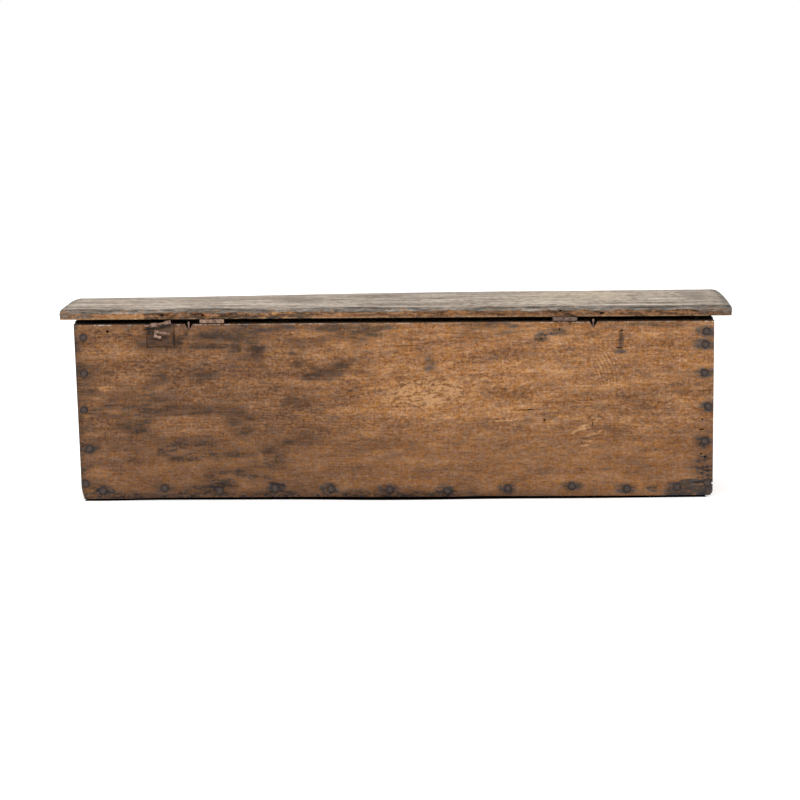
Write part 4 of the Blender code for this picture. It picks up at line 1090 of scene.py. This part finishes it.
lay_fields(lid_plank,
           tone=0.85 - 0.6 * ease(along_mm, 150, 850) + edge_tone,
           grit=1.0,
           soot=np.max([top_dirt * weather * (1 - bleached), edge_dirt * (1 - weather), grey_dirt * grey_band,
                        3.4 * over_edge * (1 - over_edge), end_dirt,
                        0.9 * at_ends * fade(level_mm, 6, 12)], axis=0),
           pale=np.maximum(marks_field(along_mm, over_mm, scrapes),
                           0.66 * bleached) * over_edge * (1 - grey_band),
           iron=0.36 * rim * left_part * (1 - past_left) * (1 - weather),
           silver=weather,
           bare=under,
           pit=deep)
ACROSS_THE_LID = (8.0, 80.0, 200.0)
LID_GRIME = (0.33, 0.34, 0.36, 1.0)
LID_PALE = tint(202, 184, 160)
LID_CRUMBLED = 90.0
lid_plank.data.materials.append(plank_finish("weathered_lid_wood", 0, (0.7, 0.3, 0.15), ACROSS_THE_LID,
                                             LID_GRIME, LID_PALE, LID_CRUMBLED))
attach(lid_plank, "lid")
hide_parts("lid_board")

# Stage
# A plain pale floor with even studio light from all round and a broad soft lamp above the camera. A dark
# strip on it, faded at its near edge, is the shade of the narrow slit under the chest.

bpy.ops.mesh.primitive_plane_add(size=40)
floor = bpy.context.object
floor.name = "floor"
floor_finish, floor_tree, floor_shader = new_finish("pale_floor")
paper = floor_shader.inputs
paper["Base Color"].default_value = (0.9, 0.9, 0.9, 1)
paper["Roughness"].default_value = 0.9
paper["Emission Color"].default_value = (1, 1, 1, 1)
paper["Emission Strength"].default_value = 0.42
floor.data.materials.append(floor_finish)

SHADE_LIFT = 0.0002
SHADE_INSET = 0.012
SHADE_BULGE = 0.010
SHADE_FADED = 0.016
SHADE_DRAWN = 8.0
SHADE_STEPS = 41
SHADE_COLOUR = tint(14, 12, 13)
share = np.linspace(0, 1, SHADE_STEPS)
across_x = X_LEFT + SHADE_INSET + share * (X_RIGHT - X_LEFT - 2 * SHADE_INSET)
worn_back = SHADE_DRAWN * foot_wear((across_x - X_LEFT) / MM) * MM
bulge = np.sin(math.pi * share)
faded_y = Y_BACK - SHADE_FADED * bulge + worn_back
near_y = Y_BACK - SHADE_BULGE * bulge + worn_back
far_y = FRONT[1, 1] + 0 * share
rows_y = np.stack([faded_y, near_y, far_y])
border = np.stack([np.broadcast_to(across_x, rows_y.shape), rows_y, np.full(rows_y.shape, SHADE_LIFT)],
                  axis=-1).reshape(-1, 3)
index = np.arange(rows_y.size).reshape(rows_y.shape)
strips = np.stack([index[:-1, :-1], index[:-1, 1:], index[1:, 1:], index[1:, :-1]], axis=-1).reshape(-1, 4)
shade_mesh = bpy.data.meshes.new("shaded_floor")
shade_mesh.from_pydata(border.tolist(), [], strips.tolist())
shaded_floor = bpy.data.objects.new("shaded_floor", shade_mesh)
bpy.context.scene.collection.objects.link(shaded_floor)
lay_fields(shaded_floor, shade=np.repeat([0.0, 1.0, 1.0], share.size))
shade_finish, tree, shader = new_finish("shaded_floor")
shader.inputs["Base Color"].default_value = SHADE_COLOUR
shader.inputs["Specular IOR Level"].default_value = 0.0
clear = put(tree, "ShaderNodeBsdfTransparent", {}).outputs[0]
fading = put(tree, "ShaderNodeMixShader", {0: field(tree, "shade"), 1: clear, 2: shader.outputs[0]})
tree.links.new(fading.outputs[0], tree.nodes["Material Output"].inputs["Surface"])
shaded_floor.data.materials.append(shade_finish)

world = bpy.data.worlds.new("studio")
world.use_nodes = True
sky = world.node_tree.nodes["Background"].inputs
sky["Color"].default_value = (1, 1, 1, 1)
sky["Strength"].default_value = 1.0
bpy.context.scene.world = world

CHEST_MIDDLE = Vector((0, 0, 0.15))
lamp = bpy.data.lights.new("softbox", "AREA")
lamp.shape = "RECTANGLE"
lamp.size = 2.6
lamp.size_y = 1.6
lamp.energy = 20
softbox = bpy.data.objects.new("softbox", lamp)
softbox.location = (-1.1, -2.4, 2.6)
towards = CHEST_MIDDLE - softbox.location
softbox.rotation_euler = towards.to_track_quat("-Z", "Y").to_euler()
bpy.context.scene.collection.objects.link(softbox)

CAMERA_PLACE = (0.0144, -4.8363, 0.6769)
PITCH = 0.11008
YAW = -0.00184
ROLL = -0.00688
ahead = Vector((math.sin(YAW) * math.cos(PITCH), math.cos(YAW) * math.cos(PITCH), -math.sin(PITCH)))
level = Vector((math.cos(YAW), -math.sin(YAW), 0))
upright = level.cross(ahead)
right = math.cos(ROLL) * level + math.sin(ROLL) * upright
above = -math.sin(ROLL) * level + math.cos(ROLL) * upright
lens = bpy.data.cameras.new("camera")
lens.sensor_width = 36
lens.lens = 135
camera = bpy.data.objects.new("camera", lens)
camera.matrix_world = Matrix((right, above, -ahead)).transposed().to_4x4()
camera.location = CAMERA_PLACE
bpy.context.scene.collection.objects.link(camera)
bpy.context.scene.camera = camera
bpy.context.scene.view_settings.view_transform = "Standard"
